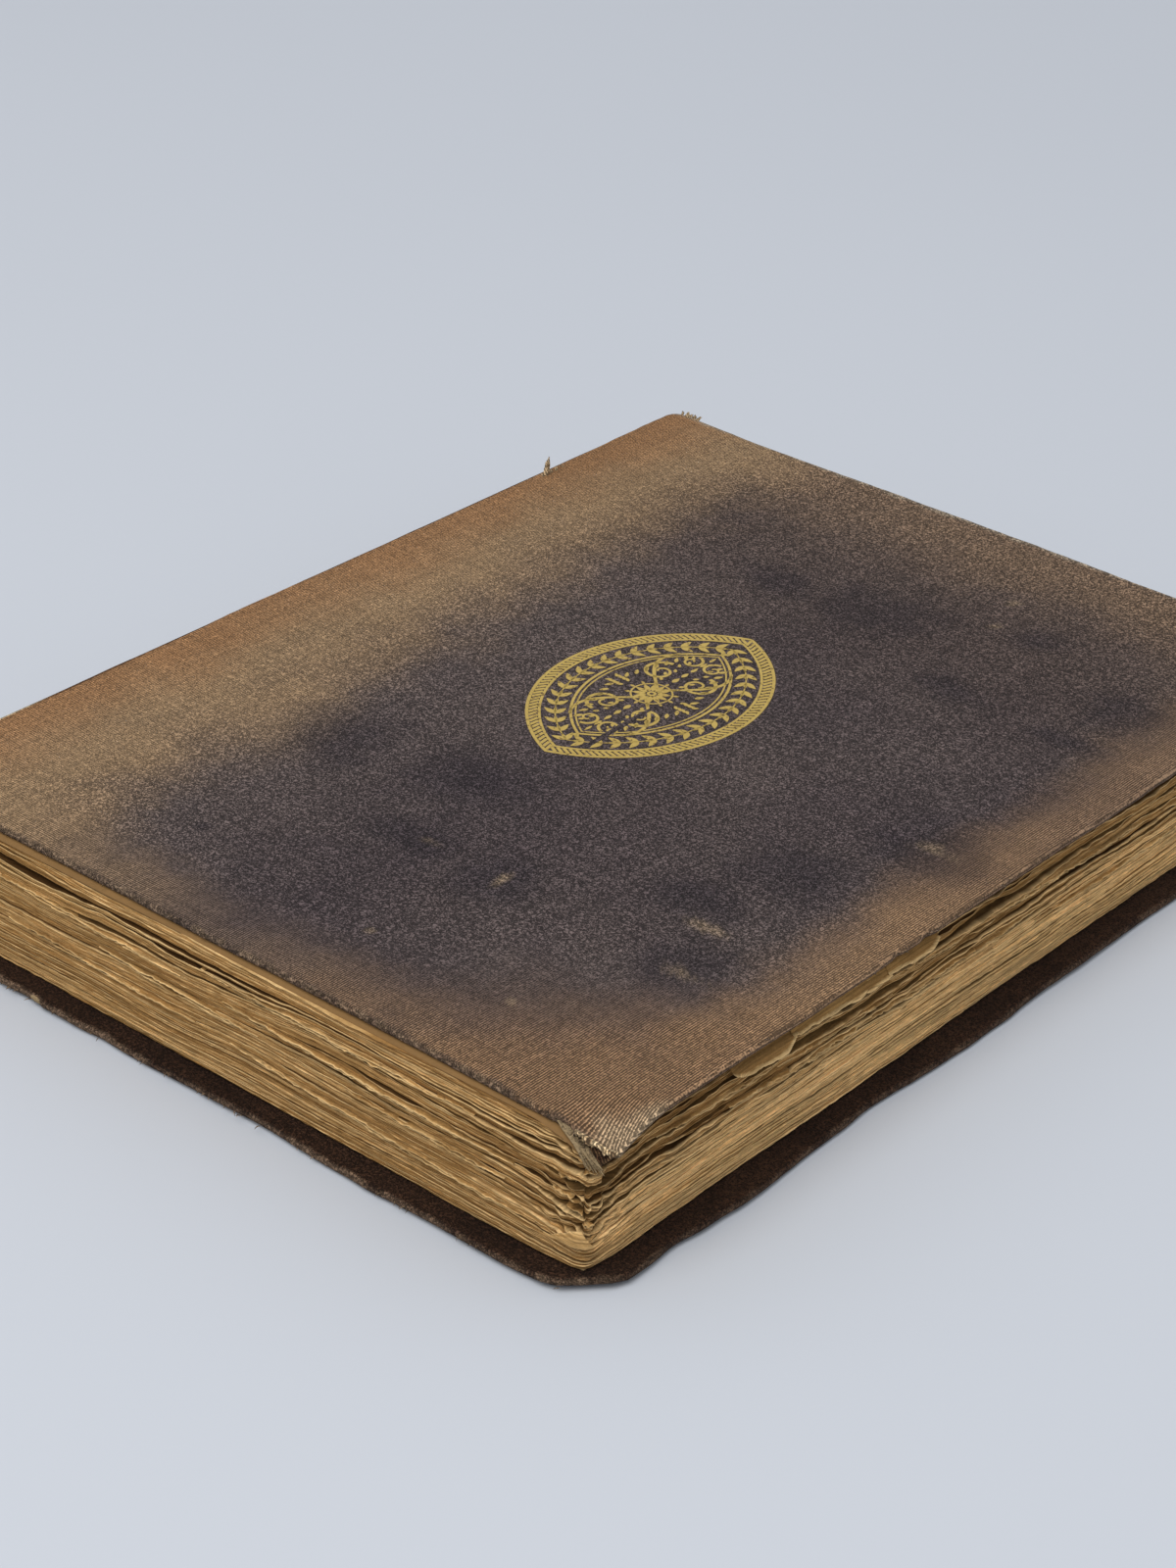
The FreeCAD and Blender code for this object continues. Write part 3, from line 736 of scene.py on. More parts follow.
BOARD_ROOM = 0.2
FRONT = Cover("front_cover", (1.2, 0, 3.0, 3.5), 12.0, front_lift, 0.4, CHIPS, front_paint, 3, 1.5)
BACK = Cover("back_cover", (1.5, 12.5, 5.0, 2.0), None, back_lift, 0.75, HOLLOWS, back_paint, 8, 2.2)
cover_cloth("front_cloth", FRONT)
cover_cloth("back_cloth", BACK)
cover_board("front_pasteboard", "front_board", FRONT)
cover_board("back_pasteboard", "back_board", BACK)


def strand(path, width, thickness, seed, count=26):
    """A tapered fibre or strip along a path of points."""
    path = np.asarray(path, float)
    share = np.linspace(0, 1, count)
    along = np.linspace(0, 1, len(path))
    spine = np.stack([np.interp(share, along, path[:, axis]) for axis in range(3)], -1)
    for _ in range(3):
        spine[1:-1] = (spine[:-2] + 2 * spine[1:-1] + spine[2:]) / 4
    spine = spine + 0.12 * width * np.stack([noise(share * 6, axis, seed) for axis in range(3)], -1)
    ahead = np.gradient(spine, axis=0)
    ahead /= np.linalg.norm(ahead, axis=1)[:, None]
    side = np.cross(ahead, (0.15, -0.1, 1.0))
    side /= np.linalg.norm(side, axis=1)[:, None]
    up = np.cross(side, ahead)
    taper = (0.35 + 0.65 * ease(share * 5)) * (1 - 0.8 * ease((share - 0.65) / 0.35))
    corners = [(-1, -1), (1, -1), (1, 1), (-1, 1)]
    loops = [spine + side * (a * width / 2 * taper)[:, None] + up * (b * thickness / 2 * taper)[:, None]
             for a, b in corners]
    return closed_loops(np.stack(loops, 1))


def front_place(from_fore, from_tail, below=0.0):
    """A point of the front cover's top, so far from its fore-edge and tail and below its surface."""
    x, y = FRONT_HIGH[0] - from_fore, FRONT_LOW[1] + from_tail
    return (x, y, FRONT_HIGH[2] - below + float(front_lift(x, y)))


STRIPS = 30


def torn_corner():
    """Strips of the board's layers, laid bare in the torn near corner and bent down to its tip."""
    chance = np.random.default_rng(5)
    parts = []
    for number in range(STRIPS):
        share = number / (STRIPS - 1)
        from_fore = 12.6 - 3.6 * share + chance.uniform(-0.8, 0.8)
        start = front_place(from_fore, 0.5 + 1.3 * share, 0.3 + 0.5 * share)
        from_fore = 7.4 - 1.8 * share + chance.uniform(-0.5, 0.5)
        middle = front_place(from_fore, -0.7 + 1.2 * share, 1.0 + 0.5 * share)
        from_fore = 4.0 - 2.6 * share + chance.uniform(-0.7, 1.0)
        from_tail = -1.7 + 1.9 * share + chance.uniform(-0.4, 0.4)
        end = front_place(from_fore, from_tail, 1.6 + 2.0 * chance.random())
        width, thickness = chance.uniform(0.35, 0.95), chance.uniform(0.2, 0.4)
        parts.append(strand([start, middle, end], width, thickness, number))
    points, faces = join(parts)
    piece = make_object("torn_corner_strips", points, faces, BOARD, "front_cover")


def torn_lip():
    """The torn edge of the cloth over those strips, frayed and curled up a little."""
    u, v = grid(60, 10)
    from_fore = 9.0 - 8.9 * u + 0 * v
    width = 0.5 + 0.8 * ease(u * 3) + 0.5 * noise(u * 11, 0.4, 81) + 0.4 * noise(u * 31, 0.4, 82)
    from_tail = 1.2 + 2.4 * u - width * v
    x, y = FRONT_HIGH[0] - from_fore, FRONT_LOW[1] + from_tail
    curl = 0.35 * noise(u * 7, v, 83) + 0.25 * ease(u * 2) - 0.55 * v ** 2
    z = FRONT_HIGH[2] + front_lift(x, y) + 0.06 + curl * v
    upper = np.dstack([x, y, z])
    points, faces = thick_sheet(upper, upper - np.array([0, 0, 0.2]))
    pale = layered(x.shape, (176, 146, 106), [
        ((208, 184, 146), 0.5 + 0.5 * noise(u * 23, v * 3, 84)),
        ((96, 70, 46), 0.8 * ease(noise(u * 9, v * 2, 87) * 2 - 0.5)),
    ])
    dark = np.tile(colour(52, 34, 22)[:3], (x.size, 1))
    cloth_piece("torn_cloth_lip", points, faces, "front_cover",
                np.concatenate([pale.reshape(-1, 3), dark]), np.ones(len(points)))


def torn_inside():
    """The brown hollow under that lip."""
    u, v = grid(60, 8)
    from_fore = 10.0 - 9.0 * u + 2.4 * v * u
    from_tail = 0.9 + 1.9 * u - (1.2 + 2.0 * u) * v
    x, y = FRONT_HIGH[0] - from_fore, FRONT_LOW[1] + from_tail
    z = FRONT_HIGH[2] + front_lift(x, y) - 0.8 - 2.4 * v * u + 0.2 * noise(u * 9, v * 4, 85)
    upper = np.dstack([x, y, z])
    points, faces = thick_sheet(upper, upper - np.array([0, 0, 0.3]))
    pale_share = 0.8 * ease((v - 0.75) / 0.25) + 0.4 * noise(u * 9, v * 5, 86)
    brown = layered(x.shape, (62, 42, 28), [((150, 118, 80), pale_share)]).reshape(-1, 3)
    # The lower side takes the same brown with painted shade.
    cloth_piece("torn_cloth_inside", points, faces, "front_cover",
                np.concatenate([brown, brown * 0.5]), np.ones(len(points)))


def threads_along(name, cover, side, count, tint, seed):
    """Short threads fraying out of the tail or the fore-edge of a cover."""
    chance = np.random.default_rng(seed)
    low, high = cover.low, cover.high
    parts = []
    for number in range(count):
        length = chance.uniform(0.5, 1.5)
        along = chance.uniform(-1.2, 1.2)
        out = 0.5 + length * 0.6
        if side == "tail":
            x, y = chance.uniform(low[0] + 4, high[0] - 4), low[1] + 0.7
            end = (x + along, y - out)
        else:
            x, y = high[0] - 0.7, chance.uniform(low[1] + 6, high[1] - 6)
            end = (x + out, y + along)
        z = high[2] + float(cover.lift(x, y)) - chance.uniform(0.1, 0.9)
        middle = ((x + end[0]) / 2, (y + end[1]) / 2, z + 0.15)
        line = [(x, y, z), middle, (*end, z - chance.uniform(0.0, 0.5))]
        parts.append(strand(line, chance.uniform(0.10, 0.22), 0.1, number, 7))
    points, faces = join(parts)
    count = len(points)
    cloth_piece(name, points, faces, cover.side, np.tile(colour(*tint)[:3], (count, 1)),
                np.full(count, 0.6), np.ones(count))


SLIVER_FROM_SPINE = 2.5
SLIVER_FROM_TAIL = 216
SLIVER_HEIGHT = 4.6


def spine_splinter():
    """A sliver of cloth standing up from the spine edge, and the frayed end of the far corner."""
    chance = np.random.default_rng(23)
    x0, y0 = FRONT_LOW[0] + SLIVER_FROM_SPINE, FRONT_LOW[1] + SLIVER_FROM_TAIL
    top = FRONT_HIGH[2] + float(front_lift(x0, y0))
    foot, bend = (x0 + 0.5, y0 - 1.5, top - 0.4), (x0 - 0.4, y0 - 0.4, top + 1.6)
    parts = [strand([foot, bend, (x0 - 0.2, y0 + 0.3, top + SLIVER_HEIGHT)], 1.3, 0.35, 1)]
    for number in range(9):
        y = y0 + chance.uniform(-3, 6)
        foot, bend = (x0 + 0.4, y, top - 0.3), (x0 - 0.5, y + 0.6, top + 0.4)
        tip = (x0 - 0.7, y + chance.uniform(-1, 2), top + chance.uniform(0.2, 1.0))
        parts.append(strand([foot, bend, tip], 0.4, 0.15, number, 9))
    head = FRONT_HIGH[1]
    for number in range(16):
        x = x0 + chance.uniform(0.4, 6.0)
        top = FRONT_HIGH[2] + float(front_lift(x, head))
        foot, bend = (x, head - 1.2, top - 0.4), (x + 0.2, head - 0.2, top + 0.3)
        tip = (x + chance.uniform(-0.9, 0.9), head + chance.uniform(0.2, 0.9),
               top + chance.uniform(-0.2, 0.9))
        parts.append(strand([foot, bend, tip], chance.uniform(0.3, 0.7), 0.2, number, 9))
    points, faces = join(parts)
    tint = np.tile(colour(184, 158, 122)[:3], (len(points), 1))
    cloth_piece("spine_splinter", points, faces, "front_cover", tint,
                np.full(len(points), 0.8), np.full(len(points), 0.4))


torn_corner()
torn_lip()
torn_inside()
threads_along("front_tail_threads", FRONT, "tail", 130, (104, 86, 68), 31)
threads_along("front_fore_threads", FRONT, "fore", 22, (122, 106, 90), 32)
threads_along("back_tail_threads", BACK, "tail", 60, (132, 110, 86), 33)
spine_splinter()


# The leaves
NEAR_RADIUS = 3.2
FAR_RADIUS = 1.6
# The edges have finer steps this far from the near corner
NEAR_TAIL = 34
NEAR_FORE = 40
NEAR_ARC_POINTS = 10


def block_path():
    """Points round the leaves, their outward directions, their walk from the near corner and the spine's marks."""
    near, far = NEAR_RADIUS, FAR_RADIUS
    fine, coarse = ((0.95, 4.0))
    x0, x1, y0, y1 = TEXT_SPINE_X, TEXT_FORE_X, TEXT_TAIL_Y, TEXT_HEAD_Y
    tail = run((x0, y0), (x1 - NEAR_TAIL, y0), fine)
    tail_end = run((x1 - NEAR_TAIL, y0), (x1 - near, y0), fine * 0.7)
    near_arc = arc_run((x1 - near, y0 + near), near, 270, 360, NEAR_ARC_POINTS)
    fore_start = run((x1, y0 + near), (x1, y0 + NEAR_FORE), fine * 0.7)
    fore = run((x1, y0 + NEAR_FORE), (x1, y1 - far), fine)
    far_arc = arc_run((x1 - far, y1 - far), far, 0, 90, 5)
    head = run((x1 - far, y1), (x0, y1), coarse)
    spine = run((x0, y1), (x0, y0), 14)
    path = np.concatenate([tail, tail_end, near_arc, fore_start, fore, far_arc, head, spine])
    normal = outward(path)
    is_spine = np.zeros(len(path))
    is_spine[-len(spine) + 1:] = 1
    normal[-len(spine):] = (-1, 0)
    normal[0] = (0, -1)
    normal[-len(spine)] = (0, 1)
    step = np.linalg.norm(np.diff(path, axis=0), axis=1)
    walk = np.concatenate([[0], np.cumsum(step)])
    corner = walk[len(tail) + len(tail_end) + NEAR_ARC_POINTS // 2]
    return path, normal, walk - corner, is_spine


PATH, NORMAL, WALK, IS_SPINE = block_path()
BLOCK_BOTTOM = BACK_ENDPAPER_HIGH[2]
BLOCK_TOP = ENDPAPER_LOW[2]
# Where bundles of leaves part: distance along the edges from the near corner (the tail has the values below
# nothing), height, half length, half height, and how wide they part
PARTINGS = [
    (-150, 28.6, 60, 0.9, 2.4), (-112, 25.6, 45, 0.7, 1.0), (-58, 20.6, 22, 1.2, 2.0),
    (-44, 18.0, 26, 0.9, 1.2), (-30, 24.0, 26, 0.9, 1.4), (-92, 12.2, 40, 0.8, 0.8),
    (1, 23.8, 8, 1.2, 8.0), (3, 17.2, 7, 0.9, 3.5), (-8, 20.0, 9, 0.8, 1.5), (12, 21.0, 16, 1.0, 1.4),
    (66, 23.0, 44, 0.8, 3.4), (116, 25.0, 44, 0.8, 3.0), (50, 19.6, 60, 0.7, 1.6),
    (30, 26.5, 22, 1.0, 1.6), (95, 18.0, 90, 0.6, 1.4), (150, 27.0, 60, 1.0, 2.6),
    (190, 22.5, 60, 1.2, 2.6), (120, 21.0, 30, 0.8, 1.4),
    (60, 12.4, 40, 0.5, 0.7), (110, 9.0, 60, 0.5, 0.6), (300, 24.0, 60, 1.2, 3.0), (370, 19.0, 60, 1.2, 2.0),
]
LEAF_COUNT = 132
# A leaf's share of the height; its gaps are told in the same measure
SHEET = 0.19


def bundles(count):
    """For each leaf the number of its bundle and whether it is the first of it."""
    chance = np.random.default_rng(9)
    number, first = [], []
    bundle = 0
    while len(number) < count:
        if len(number) < 0.42 * count:
            size = int(chance.integers(2, 6))
        else:
            size = int(chance.integers(2, 9)) + int(8 * chance.random() ** 3)
        for place in range(size):
            number.append(bundle)
            first.append(place == 0)
        bundle += 1
    return np.array(number[:count], float), np.array(first[:count], float)


BUNDLE, FIRST = bundles(LEAF_COUNT)

# From here on a row stands for each leaf from the lowest up, a column for each place round the edges
WALKS = WALK[None, :]
LEAF = np.arange(LEAF_COUNT)[:, None]
IN_BUNDLE = BUNDLE[:, None]
STARTS = FIRST[:, None]
ENDS = np.roll(STARTS, -1, 0)
OFF_SPINE = 1 - IS_SPINE
FLAT_Z = BLOCK_BOTTOM + (BLOCK_TOP - BLOCK_BOTTOM) * (LEAF + 0.5) / LEAF_COUNT
# The upper leaves are looser than the lower ones, and the fore-edge is looser than the tail
UPPER = ease((FLAT_Z - 13) / 6)
ON_FORE = ease((WALKS + 4) / 8)
CALM_TAIL = (1 - ON_FORE) * (1 - hump(WALKS, 34))
LOOSE = 0.3 + UPPER * (0.6 + 1.1 * ON_FORE) + 1.3 * hump(WALKS, 20) * ease((FLAT_Z - 9) / 5)
ROUGH = (0.45 + 0.55 * UPPER) * (1 - 0.5 * CALM_TAIL)
CRUMPLE = hump(WALKS, 9) * ease((FLAT_Z - 8) / 5)
LEAST_GAP = 0.0015


def leaf_gaps():
    """How far each leaf stands off the one below it."""
    opening = ease(noise(WALKS / 36, IN_BUNDLE * 1.7, 31) + 0.3) * (1 - 0.55 * CALM_TAIL)
    gap = 0.02 * LOOSE * ease(noise(WALKS / 30, LEAF * 0.9, 30) + 0.2)
    gap = gap + STARTS * LOOSE * (0.03 + 0.16 * opening)
    spread = hump(WALKS - 4, 26) * ease((FLAT_Z - 9) / 6)
    gap = gap + STARTS * (0.04 + 0.07 * ease((WALKS - 6) / 10)) * (1 - UPPER)
    gap = gap + spread * STARTS * (0.10 + 0.42 * (0.5 + 0.5 * noise(WALKS / 11, IN_BUNDLE * 2.3, 29)))
    for where, height, half_length, half_height, amount in PARTINGS:
        near = hump(WALKS - where, half_length) * hump(FLAT_Z - height, half_height)
        gap = gap + amount * near * (0.02 + 0.8 * STARTS) * (0.75 + 0.6 * noise(WALKS / 24, IN_BUNDLE, 32))
    return np.maximum(gap, 0.0) * OFF_SPINE + LEAST_GAP


def leaf_heights(gap):
    """Each leaf's lower and upper height and its gap, once all of them together fill the block."""
    sheet = SHEET * (1 + 0.3 * noise(LEAF * 1.7, 0.5, 33)) * (1 + 0.35 * noise(WALKS / 24, IN_BUNDLE * 1.3, 34))
    bottom = BLOCK_BOTTOM + back_lift(PATH[:, 0], PATH[:, 1])
    top = BLOCK_TOP + np.minimum(front_lift(PATH[:, 0], PATH[:, 1]), 0.05)
    scale = (top - bottom) / (sheet + gap).sum(0)
    low = bottom + (np.cumsum(sheet + gap, 0) - sheet) * scale
    return low, low + sheet * scale, gap * scale


def leaf_reach():
    """How far each leaf's torn edge stands out."""
    reach = ROUGH * (0.36 * noise(WALKS / 46, IN_BUNDLE * 3.7, 35) + 0.24 * noise(WALKS / 13, IN_BUNDLE * 5.3, 36)
                     + 0.09 * noise(WALKS / 3.1, IN_BUNDLE * 2.9 + 0.2 * LEAF, 37))
    reach = reach + 0.17 * noise(WALKS / 20, LEAF * 1.7, 38) + 0.13 * noise(WALKS / 1.9, LEAF * 2.3, 39) - 0.6
    lip = 0.5 * noise(WALKS / 27, IN_BUNDLE * 1.1, 46) + 0.25 * noise(WALKS / 5.1, IN_BUNDLE, 47)
    reach = reach + ENDS * ROUGH * (0.4 + lip + 0.3 * noise(WALKS / 2.1, IN_BUNDLE, 48))
    reach = reach - 2.2 * ROUGH * np.maximum(noise(WALKS / 70, IN_BUNDLE * 2.1, 40) - 0.5, 0)
    worn = ease((FLAT_Z - 12) / 3) * (1.5 + 1.4 * noise(0.5, IN_BUNDLE * 2.3, 41))
    crumpled = (1.3 * noise(WALKS / 2.6, IN_BUNDLE * 4.1, 42) + 0.35 * noise(WALKS / 1.3, LEAF * 0.7, 50)
                + 0.5 * noise(WALKS / 1.2, IN_BUNDLE * 2.2, 57))
    reach = reach - hump(WALKS, 7) * worn + CRUMPLE * crumpled
    reach = reach - 1.1 * ease((FLAT_Z - 28.6) / 2.4) * (0.55 + 0.45 * noise(WALKS / 24, LEAF * 0.8, 58))
    return reach * OFF_SPINE


def leaf_bends(gap):
    """How far each leaf curls within the openings beside its bundle, and how far a bundle's last one flares."""
    curl = LOOSE * (0.34 * noise(WALKS / 12, IN_BUNDLE * 3.3, 43) + 0.12 * noise(WALKS / 3.5, IN_BUNDLE * 2.7, 44))
    crumpled = 0.6 * noise(WALKS / 3.0, IN_BUNDLE * 1.9, 45) + 0.3 * noise(WALKS / 1.3, IN_BUNDLE * 1.4, 59)
    curl = curl + CRUMPLE * (crumpled - 0.35)
    openings = np.vstack([gap[FIRST > 0], np.full((1, len(WALK)), 0.02)])
    under = openings[np.minimum(BUNDLE.astype(int), len(openings) - 1)]
    over = openings[np.minimum(BUNDLE.astype(int) + 1, len(openings) - 1)]
    curl = np.clip(curl, -0.48 * under, 0.48 * over) * OFF_SPINE
    flare = ENDS * np.minimum(0.4 * over, 0.3) * OFF_SPINE
    return curl, flare * (0.5 + 0.5 * noise(WALKS / 2.7, IN_BUNDLE * 3.1, 49))


def leaf_places():
    """Each leaf's lower and upper height, its reach, and the depth and the painted shade of the groove below it.
    """
    low, high, gap = leaf_heights(leaf_gaps())
    curl, flare = leaf_bends(gap)
    deep = 0.10 + np.minimum(3.0 * np.maximum(gap - 0.01, 0), 2.6)
    shade = np.clip(0.3 + 2.0 * gap, 0, 1)
    return low + curl, high + curl + flare, leaf_reach(), deep * OFF_SPINE + 0.05 * IS_SPINE, shade


LEAF_LOW, LEAF_TOP, LEAF_REACH, LEAF_GROOVE, LEAF_SHADE = leaf_places()


def leaf_loop(out, z):
    """A closed loop round the leaves, so far out from the path, at these heights; the spine is round."""
    middle = (BLOCK_BOTTOM + BLOCK_TOP) / 2
    bulge = SPINE_ROUND * (1 - ((z - middle) / (BLOCK_TOP - middle)) ** 2)
    flat = PATH + NORMAL * out[:, None]
    flat_x = flat[:, 0] - bulge * ease(1 - (PATH[:, 0] - TEXT_SPINE_X) / 25)
    return np.column_stack([flat_x, flat[:, 1], z])


LEAF_DARK = np.array(colour(106, 72, 38)[:3])
LEAF_PLAIN = np.array(colour(175, 134, 80)[:3])
LEAF_LIGHT = np.array(colour(242, 204, 144)[:3])


def leaf_colours(tone, depth):
    """Paper colours: dark to light by tone, and darker by painted shade down in a groove."""
    tone, depth = np.clip(tone, 0, 1)[..., None], np.clip(depth, 0, 1)[..., None]
    base = np.where(tone < 0.5, LEAF_DARK + (LEAF_PLAIN - LEAF_DARK) * tone * 2,
                    LEAF_PLAIN + (LEAF_LIGHT - LEAF_PLAIN) * (tone * 2 - 1))
    return base * (1 - 0.78 * depth)


def leaf_piece(name, points, faces, colours, smooth=False):
    """A piece of the leaves with its colours."""
    piece = make_object(name, points, faces, LEAVES, "book_block", smooth)
    set_paint(piece, colours)
    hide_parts("text_block")


def with_shaded_underside(colours, darker):
    """The colours of a sheet's upper side, and the same with painted shade for its lower side."""
    colours = colours.reshape(-1, 3)
    return np.concatenate([colours, colours * darker])


def leaf_tone(k):
    """How light a leaf's edge is: streaks, painted light on the fore-edge, most on its low part, painted shade on
    the fore-edge's upper leaves under the cover, and a darker topmost leaf.
    """
    on_fore = ease(WALK / 6)
    painted_light_low_fore = on_fore * (1 - ease((k / LEAF_COUNT - 0.4) / 0.25))
    tone = 0.5 + 0.10 * noise(WALK / 26, BUNDLE[k] * 1.9, 51) + 0.34 * noise(WALK / 70, k * 1.7, 52)
    # Painted light on the fore-edge, most on its lower part, which the lamp reaches less; the topmost leaf is
    # darker.
    tone = tone + 0.32 * painted_light_low_fore + 0.08 * on_fore - 0.28 * (k == LEAF_COUNT - 1)
    # Painted shade on the fore-edge's upper leaves under the cover's overhang; the tail a little darker.
    tone = tone - 0.2 * on_fore * ease((k / LEAF_COUNT - 0.55) / 0.1) - 0.06 * (1 - on_fore)
    return tone - 0.15 * ease(noise(WALK / 80, 0.3, 53) * 2 - 0.6)


def leaf_stack(name, start, end):
    """Some of the leaves as one closed skin: a groove, a lower and an upper lip for each leaf, with painted shade
    in the grooves and painted highlights on the lips.
    """
    loops, paints = [], []
    for k in range(start, end):
        above = LEAF_REACH[min(k + 1, LEAF_COUNT - 1)]
        below = LEAF_REACH[max(k - 1, 0)]
        stands_out = np.clip((LEAF_REACH[k] - above) / 0.45, -1, 1)
        overhangs = np.clip((LEAF_REACH[k] - below) / 0.45, 0, 1)
        tone = leaf_tone(k)
        # How strong the painted highlight is along each lip.
        torn = 0.5 + 0.5 * noise(WALK / 2.2, k * 1.1, 54)
        if k > start:
            parts_here = FIRST[k] > 0
            # Painted shade on the ledge and under the lip where a bundle parts, and down in each groove.
            dark = leaf_colours(tone - 0.2, 0.2 + 0.5 * LEAF_SHADE[k])
            if parts_here:
                ledge = np.minimum(below - 0.16, LEAF_REACH[k] + 0.06)
                loops.append(leaf_loop(ledge, LEAF_TOP[k - 1]))
                paints.append(dark)
            groove = np.minimum(LEAF_REACH[k], below) - LEAF_GROOVE[k]
            loops.append(leaf_loop(groove, (LEAF_TOP[k - 1] + LEAF_LOW[k]) / 2))
            paints.append(leaf_colours(tone - 0.2, LEAF_SHADE[k]))
            if parts_here:
                loops.append(leaf_loop(np.maximum(LEAF_REACH[k] - 0.12, groove + 0.02), LEAF_LOW[k]))
                paints.append(dark)
        loops.append(leaf_loop(LEAF_REACH[k] - 0.03, LEAF_LOW[k]))
        # Painted shade on the lower lip where it overhangs the leaf below.
        paints.append(leaf_colours(tone - 0.28 * overhangs, 0.1 * overhangs))
        loops.append(leaf_loop(LEAF_REACH[k], LEAF_TOP[k]))
        # Painted highlight where a leaf stands out and on a bundle's last leaf; painted shade where the leaf above
        # stands out over it.
        crest_highlight = FIRST[(k + 1) % LEAF_COUNT] * (0.16 + 0.3 * torn)
        lip_highlight = 0.36 * np.maximum(stands_out, 0) * (0.4 + 1.1 * torn) + 0.1 * torn + crest_highlight
        paints.append(leaf_colours(tone + lip_highlight, 0.25 * np.maximum(-stands_out, 0)))
    leaf_piece(name, *closed_loops(np.stack(loops)), np.stack(paints))


STACKS = 3
for stack in range(STACKS):
    leaf_stack(f"leaves_{stack + 1}", stack * LEAF_COUNT // STACKS, (stack + 1) * LEAF_COUNT // STACKS)


def hanging_leaf(name, start, end, edge, seed):
    """A leaf that hangs over the fore-edge; edge gives how far down it goes at shares of its length."""
    share, v = grid(max(24, round((end - start) / 0.5)), 14)
    y = FRONT_LOW[1] + start + (end - start) * share + 0 * v
    drop = 0.8 * np.interp(share, np.linspace(0, 1, len(edge)), edge)
    drop = drop + 0.3 * noise(y / 2.6, 0.5, seed) + 0.14 * noise(y / 0.8, 1.5, seed)
    drop = np.maximum(drop, 0.05)
    run_down = v * drop
    out = 0.7 + 0.9 * ease(run_down / 3.5) + 0.2 * noise(y / 9, v * 1.5, seed + 1)
    out = out + (0.55 + 0.3 * noise(y / 3, 0.4, seed + 3)) * ease((v - 0.84) / 0.16)
    inner = (1 - v) ** 3 * 3.0
    x = TEXT_FORE_X - 0.6 + out - inner
    z = ENDPAPER_HIGH[2] - 0.5 - run_down
    upper = np.dstack([x, y, z])
    lower = upper + np.array([-0.13, 0, -0.04])
    # Painted shade over the upper part, under the cover, and a painted highlight along the lip.
    tone = 0.4 + 0.16 * noise(y / 12, v * 2, seed + 2) + 0.6 * ease((v - 0.84) / 0.13)
    colours = leaf_colours(tone, 0.6 * (1 - v) + 0.06 * noise(y / 3, v * 6, seed + 4))
    leaf_piece(name, *thick_sheet(upper, lower), with_shaded_underside(colours, 0.7), True)


def edge_place(walk):
    """The point and the outward direction at a distance along the leaves' edges from the near corner."""
    place = np.stack([np.interp(walk, WALK, PATH[:, axis]) for axis in (0, 1)], -1)
    away = np.stack([np.interp(walk, WALK, NORMAL[:, axis]) for axis in (0, 1)], -1)
    return place, away


TIP_HEIGHTS = (13.6, 17.4, 18.9, 22.3, 26.4, 28.8)


def curled_tip(chance, height):
    """A crumpled tip of a leaf standing out at the near corner."""
    start = chance.uniform(-9, 1)
    u, v = grid(26, 8)
    place, away = edge_place(start + chance.uniform(2.5, 7) * u[:, 0])
    reach = (chance.uniform(-0.3, 0.5) * np.sin(math.pi * u) ** 0.7 + 0.5 * noise(u * 5, height, 91)
             + 0.25 * noise(u * 15, height, 92))
    out = -3.2 + (3.2 - 0.9 + reach) * v
    flat = place[:, None, :] + away[:, None, :] * out[..., None]
    lower_by = float(front_lift(NEAR_CORNER[0] - 2, NEAR_CORNER[1] + 2)) * ease((height - 12) / 16)
    curl = chance.uniform(-0.5, 0.5) * v ** 2 + 0.45 * noise(u * 4, v * 1.5 + height, 93) * v
    z = height + lower_by + curl + chance.uniform(-0.8, 0.6) * u - 0.3 * v
    upper = np.dstack([flat, z])
    # Painted highlight along the tip's lip, and painted shade further into the stack.
    tone = 0.42 + 0.3 * noise(u * 6, v * 3 + height, 94) + 0.35 * ease((v - 0.9) / 0.1)
    colours = leaf_colours(tone, 0.75 * (1 - v) + 0 * u)
    return thick_sheet(upper, upper - np.array([0, 0, 0.1])), with_shaded_underside(colours, 0.5)


def leaf_group(name, made):
    """Several sheets, each with its colours, as one piece."""
    leaf_piece(name, *join([part for part, _ in made]), np.concatenate([colours for _, colours in made]))


def curled_tips():
    """The crumpled tips of all the heights where the leaves part at the near corner."""
    chance = np.random.default_rng(17)
    leaf_group("crumpled_leaf_tips", [curled_tip(chance, height) for height in TIP_HEIGHTS])


def dog_ear():
    """A leaf folded back flat against the tail edge, close to the near corner."""
    u, v = grid(40, 12)
    slant = 2.6 * v * u ** 3
    walk = -9.5 + 11.5 * u - slant
    low = 7.9 + 0.2 * u + 0.15 * noise(u * 6, 0.9, 98)
    high = low + 0.3 + 3.8 * ease(u * 1.15) + 0.25 * noise(u * 9, 0.3, 95)
    z = low + (high - low) * v
    place, away = edge_place(walk)
    out = 0.2 + 0.45 * np.sin(math.pi * v) * u + 0.15 * noise(u * 8, v * 3, 96)
    x, y = place[..., 0] + away[..., 0] * out, place[..., 1] + away[..., 1] * out
    inward_x, inward_y = -0.14 * away[..., 0], -0.14 * away[..., 1]
    lower = np.dstack([x, y, z])
    inner = lower + np.dstack([inward_x, inward_y, 0 * z])
    # A painted highlight along its top edge, and a little painted shade towards its end away from the corner.
    tone = 0.6 + 0.14 * noise(u * 3, v * 9, 97) + 0.28 * ease((v - 0.9) / 0.1)
    colours = leaf_colours(tone, 0.1 * (1 - u) + 0 * v)
    leaf_piece("dog_ear", *thick_sheet(lower, inner), with_shaded_underside(colours, 0.6), True)


